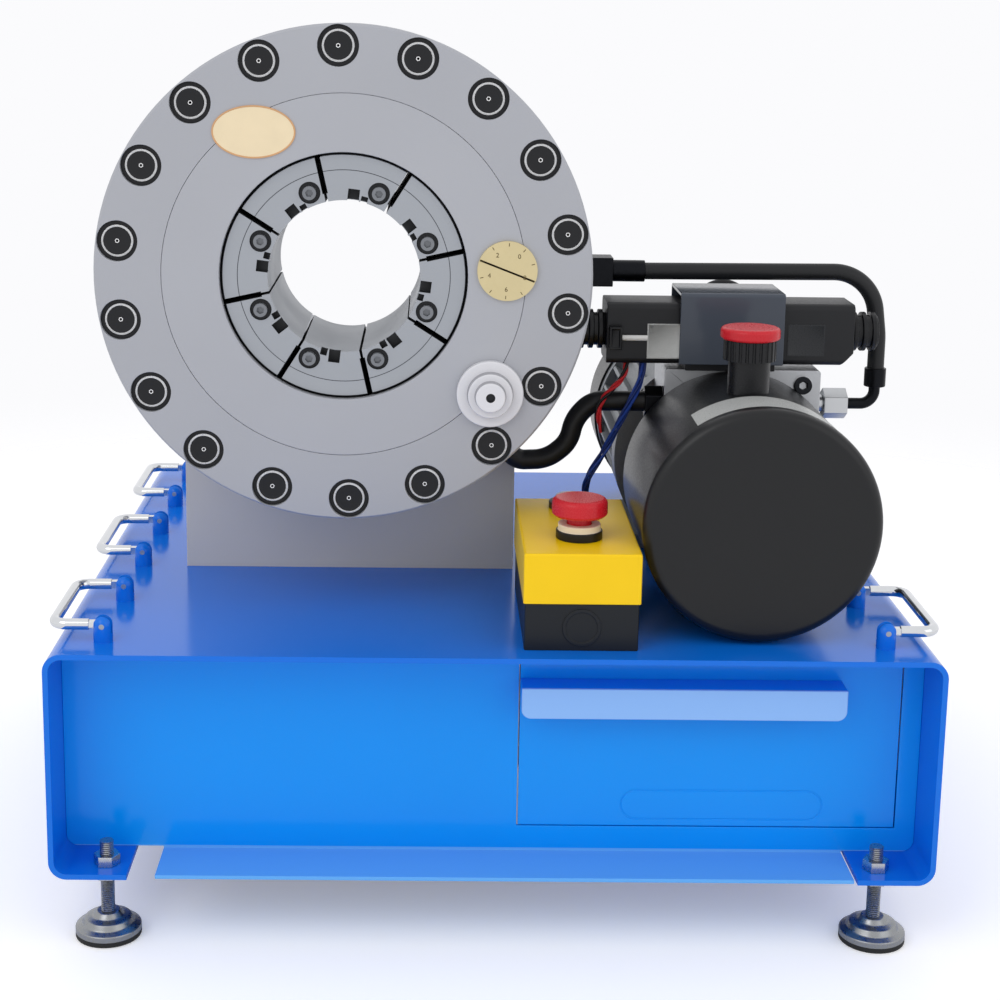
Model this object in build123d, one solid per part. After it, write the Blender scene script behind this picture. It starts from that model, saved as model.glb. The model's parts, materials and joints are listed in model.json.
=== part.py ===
from build123d import *
import math
import os

# Hose crimping machine. Millimetres, +Z up, front towards -Y.
# The origin is on the floor under the middle of the base.

# ---- base -----------------------------------------------------------------------------------------------
BASE_WIDTH = 640.0
BASE_DEPTH = 546.0
BASE_TOP = 221.0          # height of the deck above the floor
BASE_HEIGHT = 170.0       # deck top to the underside of the bottom flanges
SHEET = 4.0
CORNER_RADIUS = 13.0
FLANGE_WIDTH = 56.0
PANEL_RECESS = 48.0       # front and rear panels stand this far in from the ends of the sheet
PANEL_SHEET = 3.0
PANEL_FOOT_LEFT = 20.0      # bottom flange of a panel, inside the left bottom flange of the sheet
PANEL_FOOT_RIGHT = 2.0

VENT_COLUMNS = 4
VENT_ROWS = 4
VENT_FIRST_X = -195.0
VENT_PITCH_X = 130.0
VENT_FIRST_Z = 115.0
VENT_PITCH_Z = 20.0
VENT_LENGTH = 90.0
VENT_HEIGHT = 6.0

# ---- levelling feet -------------------------------------------------------------------------------------
FOOT_SIDE = 39.0          # stud to the side of the base
FOOT_X = BASE_WIDTH / 2 - FOOT_SIDE
FOOT_INSET = 19.0
FOOT_RADIUS = 24.0
FOOT_SHOULDER_RADIUS = 17.0
FOOT_HUB_RADIUS = 8.5
FOOT_RIM_HEIGHT = 8.0
FOOT_SHOULDER_HEIGHT = 14.0
FOOT_HUB_HEIGHT = 19.0
FOOT_STEP = 2.0
FOOT_HUB_FLARE = 3.0
FOOT_HUB_RISE = 1.0
STUD_RADIUS = 5.0
STUD_TOP = 73.0
FOOT_NUT_WIDTH = 17.0
FOOT_NUT_HEIGHT = 8.0
FOOT_LOCK_NUT = 6.0

# ---- drawer ---------------------------------------------------------------------------------------------
DRAWER_LEFT = 18.5
DRAWER_SIDE = 19.0        # drawer opening to the side of the base
DRAWER_RIGHT = BASE_WIDTH / 2 - DRAWER_SIDE
DRAWER_LOW = 73.5
DRAWER_HIGH = 205.0
DRAWER_GAP = 1.0
DRAWER_LENGTH = 380.0
TRAY_WALL = 1.5
TRAY_SIDE_GAP = 11.0
TRAY_LOW = 80.0
TRAY_HIGH = 172.0
RUNNER_LOW = 120.5
RUNNER_HIGH = 134.5
RAIL_CLEARANCE = 0.3
RAIL_SHEET = 2.0
RAIL_REACH = 7.0          # width of the rail lips
PULL_LENGTH = 236.0
PULL_STANDOFF = 23.0
PULL_TOP = 189.5
PULL_DROP = 23.0
PULL_SHEET = 2.0
PULL_CORNER = 7.0
SLOT_LENGTH = 151.0
SLOT_HEIGHT = 24.0
SLOT_CENTRE = (170.7, 91.0)
SLOT_LINE = 1.2
SLOT_DEPTH = 0.6

# ---- drop handles ---------------------------------------------------------------------------------------
HANDLE_FIRST = 80.0       # front lip to the middle of the first handle
HANDLE_PITCH = 188.0
HANDLE_COUNT = 3
HANDLE_SPREAD = 96.0      # between the two arms of one handle
HANDLE_PIVOT_X = 282.0
HANDLE_REACH = 36.0
HANDLE_HEIGHT = 12.0      # pivot above the deck
HANDLE_ROD = 4.0
HANDLE_BEND = 10.0
EYE_RADIUS = 5.0
EYE_THICKNESS = 5.0
EYE_NECK = 10.0
POST_RADIUS = 7.0
POST_SLOT = 5.4
PIN_RADIUS = 2.0
RUNNING = 0.05            # radial clearance of a turning fit

# ---- crimping head --------------------------------------------------------------------------------------
HEAD_X = -113.0
HEAD_Z = 476.0
HEAD_FACE = 102.0         # front lip to the face of the head
HEAD_CLOCK = 1.4          # the bolt circle is turned by this angle
BARREL_RADIUS = 178.0
BARREL_WALL = 28.0
BARREL_BORE = BARREL_RADIUS - BARREL_WALL
COVER_OVERHANG = 4.5
HEAD_RADIUS = BARREL_RADIUS + COVER_OVERHANG
COVER_CHAMFER = 1.5
COVER_THICKNESS = 46.0
COVER_BORE = 133.4
SEAT_GAP = 0.2            # radial gap of the cone ring in its seats
RING_SPIGOT = 14.0        # depth of the ring behind the cover, inside the barrel
RING_SPIGOT_GAP = 2.0
RING_SPIGOT_RADIUS = BARREL_BORE - RING_SPIGOT_GAP
MOUTH_RADIUS = 91.0
MOUTH_LAND = 8.4          # depth of the straight mouth in front of the cone
CONE_TAPER = 0.5          # radius gained per unit of depth on both cones
BARREL_LENGTH = 176.0
REAR_COVER_THICKNESS = 28.0
REAR_COVER_SPIGOT = 12.0
SPANNER_HOLE_CIRCLE = 124.0
SPANNER_HOLE_COUNT = 6
SPANNER_HOLE_RADIUS = 6.0
SPANNER_HOLE_DEPTH = 12.0
SCREW_COUNT = 18
SCREW_INSET = 15.8        # screw circle to the rim of the cover
SCREW_CIRCLE = HEAD_RADIUS - SCREW_INSET
SCREW_SHANK = 8.0
SCREW_CLEARANCE = 0.3
SCREW_HEAD = 12.0
SCREW_HEAD_HEIGHT = 16.0
SCREW_HEAD_CHAMFER = 2.2
SCREW_DISH = 0.8
SCREW_GRIP = 66.0
SCREW_SUNK = 1.5
SCREW_KEY = 8.0
SCREW_KEY_DEPTH = 7.0
COUNTERBORE = 15.0

# ---- crimping dies and the ring piston -------------------------------------------------------------------
DIE_COUNT = 8
DIE_PHASE = 33.75         # middle of the first die from the horizontal, in the turned frame
DIE_DEPTH = 5.0           # front faces of the dies behind the face of the head
DIE_LENGTH = 120.0
DIE_FLAT = 10.0           # straight band between the two tapers
DIE_INNER = 56.0
DIE_STEP = 62.0           # inside this radius the split narrows
DIE_SPLIT = 4.0           # gap between neighbouring dies at rest
DIE_SPLIT_INNER = 2.0
ADAPTER_OUTER = 78.0
CONE_CLEARANCE = 0.5      # radial gap between dies and cones at rest
PISTON_GAP = 14.0         # cone ring to piston at rest
PISTON_CLEARANCE = 0.05
PISTON_CONE_LENGTH = 56.0
PISTON_FLANGE = 76.0
PISTON_TAIL_END = 262.0   # end of the tail tube behind the face
PISTON_BORE = 80.0
PISTON_TAIL_RADIUS = 100.0
SEAL_GROOVE = 6.0
SEAL_GROOVE_DEPTH = 4.0
SEAL_GROOVE_COUNT = 2
DIE_SCREW_CIRCLE = 66.0
DIE_SCREW_ANGLE = -12.85
DIE_SCREW_HEAD = 5.0
DIE_SCREW_HEAD_HEIGHT = 6.0
DIE_SCREW_SHANK = 3.0
DIE_SCREW_LENGTH = 14.0
DIE_SCREW_KEY = 5.0
DIE_SPOT_RADIUS = 8.0
DIE_SPOT_DEPTH = 2.0
NOTCHES = ((-4.85, 5.0, 4.5), (3.15, 8.5, 8.5))   # angle from the middle of a die, width, radial depth
NOTCH_DEPTH = 8.0

# ---- dial and knob on the face ---------------------------------------------------------------------------
DIAL_PLACE = (119.6, 6.3)
DIAL_RADIUS = 22.0
DIAL_THICKNESS = 2.5
DIAL_LINE_ANGLE = -21.0
DIAL_LINE_WIDTH = 1.4
KNOB_PLACE = (108.3, -84.9)
KNOB_STEPS = ((24.7, 6.5), (16.5, 13.5), (11.0, 20.0))
KNOB_ROUNDING = 1.2
KNOB_GAP = 0.3            # knob off the face
KNOB_RECESS = 3.25
KNOB_SPINDLE = 3.0
KNOB_SPINDLE_DEPTH = 10.0

# ---- pedestal -------------------------------------------------------------------------------------------
PEDESTAL_HALF = 133.0
PEDESTAL_FRONT = 217.0    # behind the front lip
PEDESTAL_DEPTH = 118.0
PEDESTAL_TOP = 360.0
PEDESTAL_WALL = 14.0

# ---- control station ------------------------------------------------------------------------------------
STATION_X = 60.7
STATION_FRONT = 17.0
STATION_WIDTH = 84.0
STATION_LENGTH = 155.0
STATION_BASE_HEIGHT = 34.8
STATION_LID_HEIGHT = 37.0
STATION_WALL = 2.5
STATION_BASE_INSET = 1.2
STATION_EDGE = 1.6
KNOCKOUT_RADIUS = 13.8
KNOCKOUT_PROUD = 1.2
ESTOP_SETBACK = 44.0      # station front to the stop button
BUTTON_SETBACK = 128.0
COLLAR_RADIUS = 17.0
COLLAR_HEIGHT = 6.3
COLLAR_NECK_RADIUS = 15.5
COLLAR_NECK_TOP = 11.0
COLLAR_BARREL = 14.0
COLLAR_BARREL_DEPTH = 14.0
COLLAR_FLOOR = 2.0
ESTOP_STEM = 9.0
BUTTON_TRAVEL = 3.0
ESTOP_TRAVEL = 5.0
TRAVEL_SPARE = 0.5        # room left under a button pressed all the way
ESTOP_UNDERSIDE = 16.8 # above the lid
ESTOP_RADIUS = 20.3
ESTOP_RIM = 9.0
ESTOP_CROWN = 4.5
ESTOP_CHAMFER = 2.0
BEZEL_HEIGHT = 5.3
BUTTON_RADIUS = 12.0
BUTTON_TOP = 10.3
SUPPLY_HOLE_RADIUS = 10.25
SUPPLY_HOLE = (-270.0, 88.0)   # across and up, in the rear panel

# ---- power pack -----------------------------------------------------------------------------------------
HEAD_TO_TANK = 125.0      # side of the barrel to the axis of tank and motor
TANK_X = HEAD_X + BARREL_RADIUS + HEAD_TO_TANK
TANK_Z = 309.0
TANK_FRONT = 30.0
TANK_RADIUS = 85.0
TANK_LENGTH = 155.0
TANK_WALL = 2.0
TANK_RIM_RADIUS = 86.3
TANK_RIM_WIDTH = 14.0
TANK_EDGE = 8.0
NECK_X = 187.0
NECK_SETBACK = 75.0       # tank front to the filler neck
NECK_RADIUS = 15.5
NECK_BORE = 12.0
NECK_TOP = 418.0
NECK_COLLAR_RADIUS = 19.5
NECK_COLLAR_TOP = 433.0
NECK_GRIP_COUNT = 24
NECK_GRIP_RADIUS = 1.2
CAP_RADIUS = 22.0
CAP_THICKNESS = 9.0
CAP_ROUNDING = 3.0
CAP_GAP = 0.3
CAP_PLUG_DEPTH = 6.0
PUMP_LEFT = 135.0
PUMP_RIGHT = 258.0
PUMP_LOW = 300.0
PUMP_TOP = 395.0
PUMP_THICKNESS = 65.0
PUMP_EDGE = 2.0
PUMP_BARREL_RADIUS = 62.0
PORT_PLUG_RADIUS = 7.0
PORT_PLUG_INSET = (7.0, 12.0)
PORT_PLUG_PROUD = 3.0
PORT_PLUG_KEY = 6.0
MOTOR_RADIUS = 78.0
MOTOR_LENGTH = 180.0
MOTOR_SHIELD = 22.0       # smooth end shields at both ends of the motor
MOTOR_FIN_COUNT = 28
MOTOR_FIN_HEIGHT = 8.0
MOTOR_FIN_THICKNESS = 3.0
MOTOR_FOOT_WIDTH = 150.0
MOTOR_FOOT_HEIGHT = 12.0
MOTOR_FOOT_LENGTH = 116.0
MOTOR_WEB_INSET = 22.0
SHAFT_RADIUS = 9.5
SHAFT_TAIL = 30.0
FAN_COVER_RADIUS = 88.0
FAN_COVER_LENGTH = 50.0
FAN_COVER_WALL = 2.0
FAN_COVER_LAP = 10.0
FAN_SETBACK = 6.0
FAN_RADIUS = 72.0
FAN_HUB = 18.0
FAN_DISC = 3.0
FAN_BLADES = 7
FAN_BLADE_LENGTH = 24.0
FAN_BLADE_THICKNESS = 3.0
GRILLE_RINGS = (26.0, 40.0, 54.0, 68.0)
GRILLE_SLOT = 7.0
GRILLE_SPOKES = 6
GRILLE_SPOKE_WIDTH = 5.0
EYE_BOLT_RADIUS = 20.5
EYE_BOLT_ROD = 4.5
EYE_BOLT_COLLAR = 9.0
EYE_BOLT_SEAT = 397.0
EYE_BOLT_RISE = 34.0
EYE_BOLT_SETBACK = 12.0

# ---- directional valve ----------------------------------------------------------------------------------
VALVE_LEFT = 88.0
VALVE_RIGHT = 281.0
VALVE_BODY_LEFT = 150.0
VALVE_BODY_RIGHT = 220.0
VALVE_DEPTH = 46.0
VALVE_SETBACK = 201.0     # front lip to the middle of the valve
COIL_LOW = 400.0
COIL_HIGH = 448.0
COIL_EDGE = 5.0
COIL_CUT = 10.0
COVER_LEFT = 144.0
COVER_RIGHT = 225.0
COVER_TOP = 457.0
COVER_LOW = 401.0
COVER_SHEET = 3.0
COVER_GAP = 4.0           # cover off the valve, front and back
COIL_NUT_RADIUS = 13.0
COIL_NUT_RIB = 15.5
COIL_NUT_LENGTH = 22.0
COIL_NUT_RIBS = 3

# ---- hoses ----------------------------------------------------------------------------------------------
HOSE_RADIUS = 6.7
RETURN_RADIUS = 8.0
HOSE_SETBACK = 224.0      # front lip to the plane of the pressure hose
RETURN_SETBACK = 200.0    # and of the return hose
RETURN_PORT_Z = 366.0
HEAD_PORT_Z = 467.0
PORT_BLOCK = 23.0
PORT_BLOCK_REACH = 30.0
PORT_FLAT_DEPTH = 3.0
FERRULE_RADIUS = 8.6
FERRULE_LENGTH = 26.0
FERRULE_END = 15.0
PUMP_PORT_Z = 361.0
HOSE_DROP_X = 310.0
HOSE_BEND = 35.0
ADAPTOR_RADIUS = 7.0
ADAPTOR_LENGTH = 10.0
PORT_NUT_WIDTH = 22.0
PORT_NUT_LENGTH = 19.0
ELBOW_RADIUS = 4.5
ELBOW_BEND = 11.0
RETURN_PORT_ANGLE = -50.0
RETURN_NIPPLE = 14.0
RETURN_NIPPLE_RADIUS = 9.5

# ---- free wires -----------------------------------------------------------------------------------------
LOOM_RADIUS = 3.0
LEADS_RADIUS = 2.5

# ---- worked-out places ----------------------------------------------------------------------------------
FRONT_Y = -BASE_DEPTH / 2
BACK_Y = BASE_DEPTH / 2
DECK_UNDER = BASE_TOP - SHEET
BASE_UNDER = BASE_TOP - BASE_HEIGHT
FLANGE_TOP = BASE_UNDER + SHEET
PANEL_FRONT_Y = FRONT_Y + PANEL_RECESS
PANEL_BACK_Y = PANEL_FRONT_Y + PANEL_SHEET
REAR_PANEL_Y = BACK_Y - PANEL_RECESS
TRAY_LEFT = DRAWER_LEFT + TRAY_SIDE_GAP
TRAY_RIGHT = DRAWER_RIGHT - TRAY_SIDE_GAP
DRAWER_BACK_Y = PANEL_BACK_Y + DRAWER_LENGTH
PIVOT_Z = BASE_TOP + HANDLE_HEIGHT
HANDLE_YS = [FRONT_Y + HANDLE_FIRST + HANDLE_PITCH * i for i in range(HANDLE_COUNT)]
FACE_Y = FRONT_Y + HEAD_FACE
RING_BACK = -(COVER_THICKNESS + RING_SPIGOT)
CONE_START = -MOUTH_LAND
CONE_TOP = MOUTH_RADIUS + CONE_TAPER * (CONE_START - RING_BACK)
BARREL_BACK = -(COVER_THICKNESS + BARREL_LENGTH)
COVER_BACK = BARREL_BACK - REAR_COVER_THICKNESS
DIE_FRONT = -DIE_DEPTH
DIE_REAR = DIE_FRONT - DIE_LENGTH
DIE_BELT_FRONT = RING_BACK
DIE_BELT_REAR = DIE_BELT_FRONT - DIE_FLAT
DIE_TOP = CONE_TOP - CONE_CLEARANCE
PISTON_FRONT = RING_BACK - PISTON_GAP
PISTON_MOUTH = CONE_TOP - CONE_TAPER * (DIE_BELT_REAR - PISTON_FRONT)
PISTON_CONE_BACK = PISTON_FRONT - PISTON_CONE_LENGTH
PISTON_BACK = PISTON_FRONT - PISTON_FLANGE
STATION_Y0 = FRONT_Y + STATION_FRONT
STATION_Y1 = STATION_Y0 + STATION_LENGTH
LID_LOW = BASE_TOP + STATION_BASE_HEIGHT
LID_TOP = LID_LOW + STATION_LID_HEIGHT
ESTOP_Y = STATION_Y0 + ESTOP_SETBACK
BUTTON_Y = STATION_Y0 + BUTTON_SETBACK
TANK_FRONT_Y = FRONT_Y + TANK_FRONT
TANK_BACK_Y = TANK_FRONT_Y + TANK_LENGTH
NECK_Y = TANK_FRONT_Y + NECK_SETBACK
PUMP_BACK_Y = TANK_BACK_Y + PUMP_THICKNESS
MOTOR_BACK_Y = PUMP_BACK_Y + MOTOR_LENGTH
FAN_Y = MOTOR_BACK_Y + FAN_SETBACK
EYE_BOLT_Y = PUMP_BACK_Y + EYE_BOLT_SETBACK
VALVE_Y = FRONT_Y + VALVE_SETBACK
VALVE_Z = (COIL_LOW + COIL_HIGH) / 2
HOSE_Y = FRONT_Y + HOSE_SETBACK
RETURN_Y = FRONT_Y + RETURN_SETBACK
BARREL_RIGHT = HEAD_X + BARREL_RADIUS
FERRULE_TOP_Z = PUMP_PORT_Z + ELBOW_BEND + ADAPTOR_RADIUS / 2

# Local frame of the head: origin at the middle of the face, z out of the face, y up.
HEAD = Plane(origin=(HEAD_X, FACE_Y, HEAD_Z), x_dir=(1, 0, 0), z_dir=(0, -1, 0))
TURNED_HEAD = HEAD * Rot(0, 0, HEAD_CLOCK)
# Local frame of the tank: origin at the middle of its front end, z towards the front.
TANK = Plane(origin=(TANK_X, TANK_FRONT_Y, TANK_Z), x_dir=(1, 0, 0), z_dir=(0, -1, 0))
LOW = (Align.CENTER, Align.CENTER, Align.MIN)
HIGH = (Align.CENTER, Align.CENTER, Align.MAX)


# ---- helpers --------------------------------------------------------------------------------------------
def block(x0, x1, y0, y1, z0, z1):
    """A box between two corners."""
    return Pos((x0 + x1) / 2, (y0 + y1) / 2, (z0 + z1) / 2) * Box(x1 - x0, y1 - y0, z1 - z0)


def rod(radius, start, end):
    """A cylinder from one point to another."""
    a = Vector(*start)
    b = Vector(*end)
    return Plane(origin=a, z_dir=b - a) * Cylinder(radius, (b - a).length, align=LOW)


def along_y(radius, x, z, y0, y1):
    """A cylinder parallel to Y."""
    return rod(radius, (x, y0, z), (x, y1, z))


def upright(radius, x, y, z0, z1):
    """A standing cylinder."""
    return rod(radius, (x, y, z0), (x, y, z1))


def disc(radius, front, back):
    """A cylinder about the local z axis, from depth front to depth back."""
    return Pos(0, 0, front) * Cylinder(radius, front - back, align=HIGH)


def turned(profile):
    """A closed profile of (radius, z) revolved about the local z axis."""
    return revolve(Plane.XZ * make_face(profile), axis=Axis.Z)


def tube(outer, inner, front, back):
    """A ring about the local z axis."""
    return disc(outer, front, back) - disc(inner, front, back)


def frontal(sketch, y_back, length):
    """A sketch in X and Z drawn out forwards from y_back."""
    plane = Plane(origin=(0, y_back, 0), x_dir=(1, 0, 0), z_dir=(0, -1, 0))
    return extrude(plane * sketch, amount=length)


def hexagon_sketch(width):
    """A hexagon of the given width across flats."""
    return RegularPolygon(width / 2, 6, major_radius=False)


def hexagon(width, start, length, axis):
    """A hexagonal bar of the given width across flats."""
    return extrude(Plane(origin=start, z_dir=axis) * hexagon_sketch(width), amount=length)


def pipe(points, radii, radius):
    """A round bar along straight runs joined by arcs."""
    path = FilletPolyline(*points, radius=radii)
    start = Plane(origin=path @ 0, z_dir=path % 0)
    return sweep(start * Circle(radius), path=path)


def cord(name, points, radius):
    """A hose or wire; each arc is as large as its two runs allow."""
    runs = [Vector(*b) - Vector(*a) for a, b in zip(points, points[1:])]
    radii = []
    for before, after in zip(runs, runs[1:]):
        half_turn = math.radians(before.get_angle(after)) / 2
        radii.append(0.45 * min(before.length, after.length) / math.tan(half_turn))
    path = FilletPolyline(*points, radius=radii)
    start = Plane(origin=path @ 0, z_dir=path % 0)
    solid = sweep(start * Circle(radius), path=path)
    expected = math.pi * radius ** 2 * path.length
    print(name, "radii", [round(r, 1) for r in radii], "length", round(path.length, 1),
          "volume ratio", round(solid.volume / expected, 4))
    return solid


def save(name, *shapes):
    """Write one node; several separate solids go in one file."""
    solids = []
    for shape in shapes:
        solids.extend(shape.solids())
    result = solids[0] if len(solids) == 1 else Compound(children=solids)
    export_step(result, f"parts/{name}.step")


# ---- base -----------------------------------------------------------------------------------------------
def base_section(inset, radius):
    """Cross-section of the base, set in by the given amount all round."""
    middle = (BASE_TOP + BASE_UNDER) / 2
    return Pos(0, middle) * RectangleRounded(BASE_WIDTH - 2 * inset, BASE_HEIGHT - 2 * inset, radius)


def base_frame():
    """Deck, side walls and bottom flanges bent from one sheet."""
    half = BASE_WIDTH / 2
    outer = base_section(0, CORNER_RADIUS)
    inner = base_section(SHEET, CORNER_RADIUS - SHEET)
    mouth = Pos(0, BASE_UNDER) * Rectangle(2 * (half - FLANGE_WIDTH), 4 * SHEET)
    shell = frontal(outer - inner - mouth, BACK_Y, BASE_DEPTH)
    for x, y in foot_places():
        shell -= upright(STUD_RADIUS, x, y, BASE_UNDER - 1, FLANGE_TOP + 1)
    return shell


def panel(y_outer, inward, opening):
    """Upright panel between the side walls; its bent foot lies between the bottom flanges."""
    y_inner = y_outer + inward * PANEL_SHEET
    y_tip = y_outer - inward * (PANEL_RECESS - PANEL_FOOT_RIGHT)
    foot_left = -(BASE_WIDTH / 2 - FLANGE_WIDTH) + PANEL_FOOT_LEFT
    foot_right = BASE_WIDTH / 2 - FLANGE_WIDTH - PANEL_FOOT_RIGHT
    y0 = min(y_outer, y_inner)
    y1 = max(y_outer, y_inner)
    upright_sheet = frontal(base_section(SHEET, CORNER_RADIUS - SHEET), y1, PANEL_SHEET)
    upright_sheet += block(foot_left, foot_right, y0, y1, BASE_UNDER, FLANGE_TOP + 1)
    if opening:
        upright_sheet -= block(DRAWER_LEFT, DRAWER_RIGHT, y0 - 1, y1 + 1, DRAWER_LOW, DRAWER_HIGH)
    foot = block(foot_left, foot_right, min(y_tip, y_outer), max(y_tip, y_outer),
                 BASE_UNDER, BASE_UNDER + PANEL_SHEET)
    return upright_sheet + foot


def rear_panel():
    """Rear panel with rows of cooling slots and the hole for the supply cable gland."""
    sheet = panel(REAR_PANEL_Y, -1, False)
    for column in range(VENT_COLUMNS):
        x = VENT_FIRST_X + column * VENT_PITCH_X
        for row in range(VENT_ROWS):
            slot = Pos(x, VENT_FIRST_Z + row * VENT_PITCH_Z) * SlotOverall(VENT_LENGTH, VENT_HEIGHT)
            sheet -= frontal(slot, REAR_PANEL_Y + 1, PANEL_SHEET + 2)
    x, z = SUPPLY_HOLE
    return sheet - along_y(SUPPLY_HOLE_RADIUS, x, z, REAR_PANEL_Y - PANEL_SHEET - 1, REAR_PANEL_Y + 1)


def foot_places():
    """Centres of the four levelling feet."""
    return [(sx * FOOT_X, sy * (BACK_Y - FOOT_INSET)) for sx in (-1, 1) for sy in (-1, 1)]


def foot_pad(x, y):
    """Stepped bell of a levelling foot."""
    profile = Polyline((0, 0), (FOOT_RADIUS, 0), (FOOT_RADIUS, FOOT_RIM_HEIGHT),
                       (FOOT_SHOULDER_RADIUS + FOOT_STEP, FOOT_RIM_HEIGHT + FOOT_STEP),
                       (FOOT_SHOULDER_RADIUS, FOOT_SHOULDER_HEIGHT),
                       (FOOT_HUB_RADIUS + FOOT_HUB_FLARE, FOOT_SHOULDER_HEIGHT + FOOT_HUB_RISE),
                       (FOOT_HUB_RADIUS, FOOT_HUB_HEIGHT), (0, FOOT_HUB_HEIGHT), close=True)
    bell = revolve(Plane.XZ * make_face(profile), axis=Axis.Z)
    return Pos(x, y, 0) * bell


def foot_stud(x, y):
    """Threaded stud standing on the bell."""
    return upright(STUD_RADIUS, x, y, FOOT_HUB_HEIGHT, STUD_TOP)


def foot_nuts(x, y):
    """Nut on top of the flange and thin nut under it; together they lock the stud."""
    upper = hexagon(FOOT_NUT_WIDTH, (x, y, FLANGE_TOP), FOOT_NUT_HEIGHT, (0, 0, 1))
    lower = hexagon(FOOT_NUT_WIDTH, (x, y, BASE_UNDER - FOOT_LOCK_NUT), FOOT_LOCK_NUT, (0, 0, 1))
    bore = upright(STUD_RADIUS, x, y, 0, STUD_TOP)
    return [upper - bore, lower - bore]


# ---- drawer ---------------------------------------------------------------------------------------------
def drawer_front():
    """Front plate in the opening, with the bent pull and a pressed slot outline."""
    x0 = DRAWER_LEFT + DRAWER_GAP
    x1 = DRAWER_RIGHT - DRAWER_GAP
    plate = block(x0, x1, PANEL_FRONT_Y, PANEL_BACK_Y, DRAWER_LOW + DRAWER_GAP, DRAWER_HIGH - DRAWER_GAP)
    outline = Pos(*SLOT_CENTRE) * (SlotOverall(SLOT_LENGTH, SLOT_HEIGHT)
                                   - SlotOverall(SLOT_LENGTH - 2 * SLOT_LINE, SLOT_HEIGHT - 2 * SLOT_LINE))
    plate -= frontal(outline, PANEL_FRONT_Y + SLOT_DEPTH, SLOT_DEPTH + 1)
    return plate


def drawer_pull():
    """Angle strip: a shelf standing off the drawer front and a lip hanging from it."""
    x0 = DRAWER_LEFT + DRAWER_GAP
    x1 = x0 + PULL_LENGTH
    lip_y = PANEL_FRONT_Y - PULL_STANDOFF
    shelf = block(x0, x1, lip_y, PANEL_FRONT_Y, PULL_TOP - PULL_SHEET, PULL_TOP)
    lip = block(x0, x1, lip_y, lip_y + PULL_SHEET, PULL_TOP - PULL_DROP, PULL_TOP)
    angle = shelf + lip
    low_corners = angle.edges().filter_by(Axis.Y).group_by(Axis.Z)[0]
    angle = fillet(low_corners, PULL_CORNER)
    return angle


def drawer_tray():
    """Open sheet-metal tray behind the drawer front."""
    outer = block(TRAY_LEFT, TRAY_RIGHT, PANEL_BACK_Y, DRAWER_BACK_Y, TRAY_LOW, TRAY_HIGH)
    inner = block(TRAY_LEFT + TRAY_WALL, TRAY_RIGHT - TRAY_WALL,
                  PANEL_BACK_Y + TRAY_WALL, DRAWER_BACK_Y - TRAY_WALL,
                  TRAY_LOW + TRAY_WALL, TRAY_HIGH + 1)
    return outer - inner


def drawer_runners():
    """Bars on both sides of the tray that slide in the rails."""
    left = block(DRAWER_LEFT + DRAWER_GAP, TRAY_LEFT, PANEL_BACK_Y, DRAWER_BACK_Y, RUNNER_LOW, RUNNER_HIGH)
    right = block(TRAY_RIGHT, DRAWER_RIGHT - DRAWER_GAP, PANEL_BACK_Y, DRAWER_BACK_Y,
                  RUNNER_LOW, RUNNER_HIGH)
    return left, right


def rail(x_runner, side):
    """Channel round a runner, hung from the deck; side is the way its lips point."""
    x_inside = x_runner - side * RAIL_CLEARANCE
    x_outside = x_inside - side * RAIL_SHEET
    x_lip = x_inside + side * RAIL_REACH
    low = RUNNER_LOW - RAIL_CLEARANCE
    high = RUNNER_HIGH + RAIL_CLEARANCE
    y0 = PANEL_BACK_Y + 1
    y1 = DRAWER_BACK_Y + DRAWER_GAP
    web = block(min(x_inside, x_outside), max(x_inside, x_outside), y0, y1, low - RAIL_SHEET, DECK_UNDER)
    lips = block(min(x_outside, x_lip), max(x_outside, x_lip), y0, y1, low - RAIL_SHEET, low)
    lips += block(min(x_outside, x_lip), max(x_outside, x_lip), y0, y1, high, high + RAIL_SHEET)
    return web + lips


# ---- drop handles ---------------------------------------------------------------------------------------
def handle(side, y):
    """Chrome bail lying level over the edge of the deck, hinged in two forked posts."""
    pivot = side * HANDLE_PIVOT_X
    grip = side * (HANDLE_PIVOT_X + HANDLE_REACH)
    ya = y - HANDLE_SPREAD / 2
    yb = y + HANDLE_SPREAD / 2
    start = pivot + side * EYE_NECK
    bail = pipe([(start, ya, PIVOT_Z), (grip, ya, PIVOT_Z), (grip, yb, PIVOT_Z), (start, yb, PIVOT_Z)],
                HANDLE_BEND, HANDLE_ROD)
    for arm in (ya, yb):
        ends = (arm - EYE_THICKNESS / 2, arm + EYE_THICKNESS / 2)
        eye = rod(EYE_RADIUS, (pivot, ends[0], PIVOT_Z), (pivot, ends[1], PIVOT_Z))
        neck_end = start + side
        neck = block(min(pivot, neck_end), max(pivot, neck_end), ends[0], ends[1],
                     PIVOT_Z - HANDLE_ROD * 0.7, PIVOT_Z + HANDLE_ROD * 0.7)
        bail = bail + eye + neck
        bail -= rod(PIN_RADIUS + RUNNING, (pivot, ends[0] - 1, PIVOT_Z), (pivot, ends[1] + 1, PIVOT_Z))
    return bail


def handle_hinges():
    """Every post and pin place: (x, y)."""
    places = []
    for side in (-1, 1):
        for y in HANDLE_YS:
            for arm in (-1, 1):
                places.append((side * HANDLE_PIVOT_X, y + arm * HANDLE_SPREAD / 2))
    return places


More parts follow.
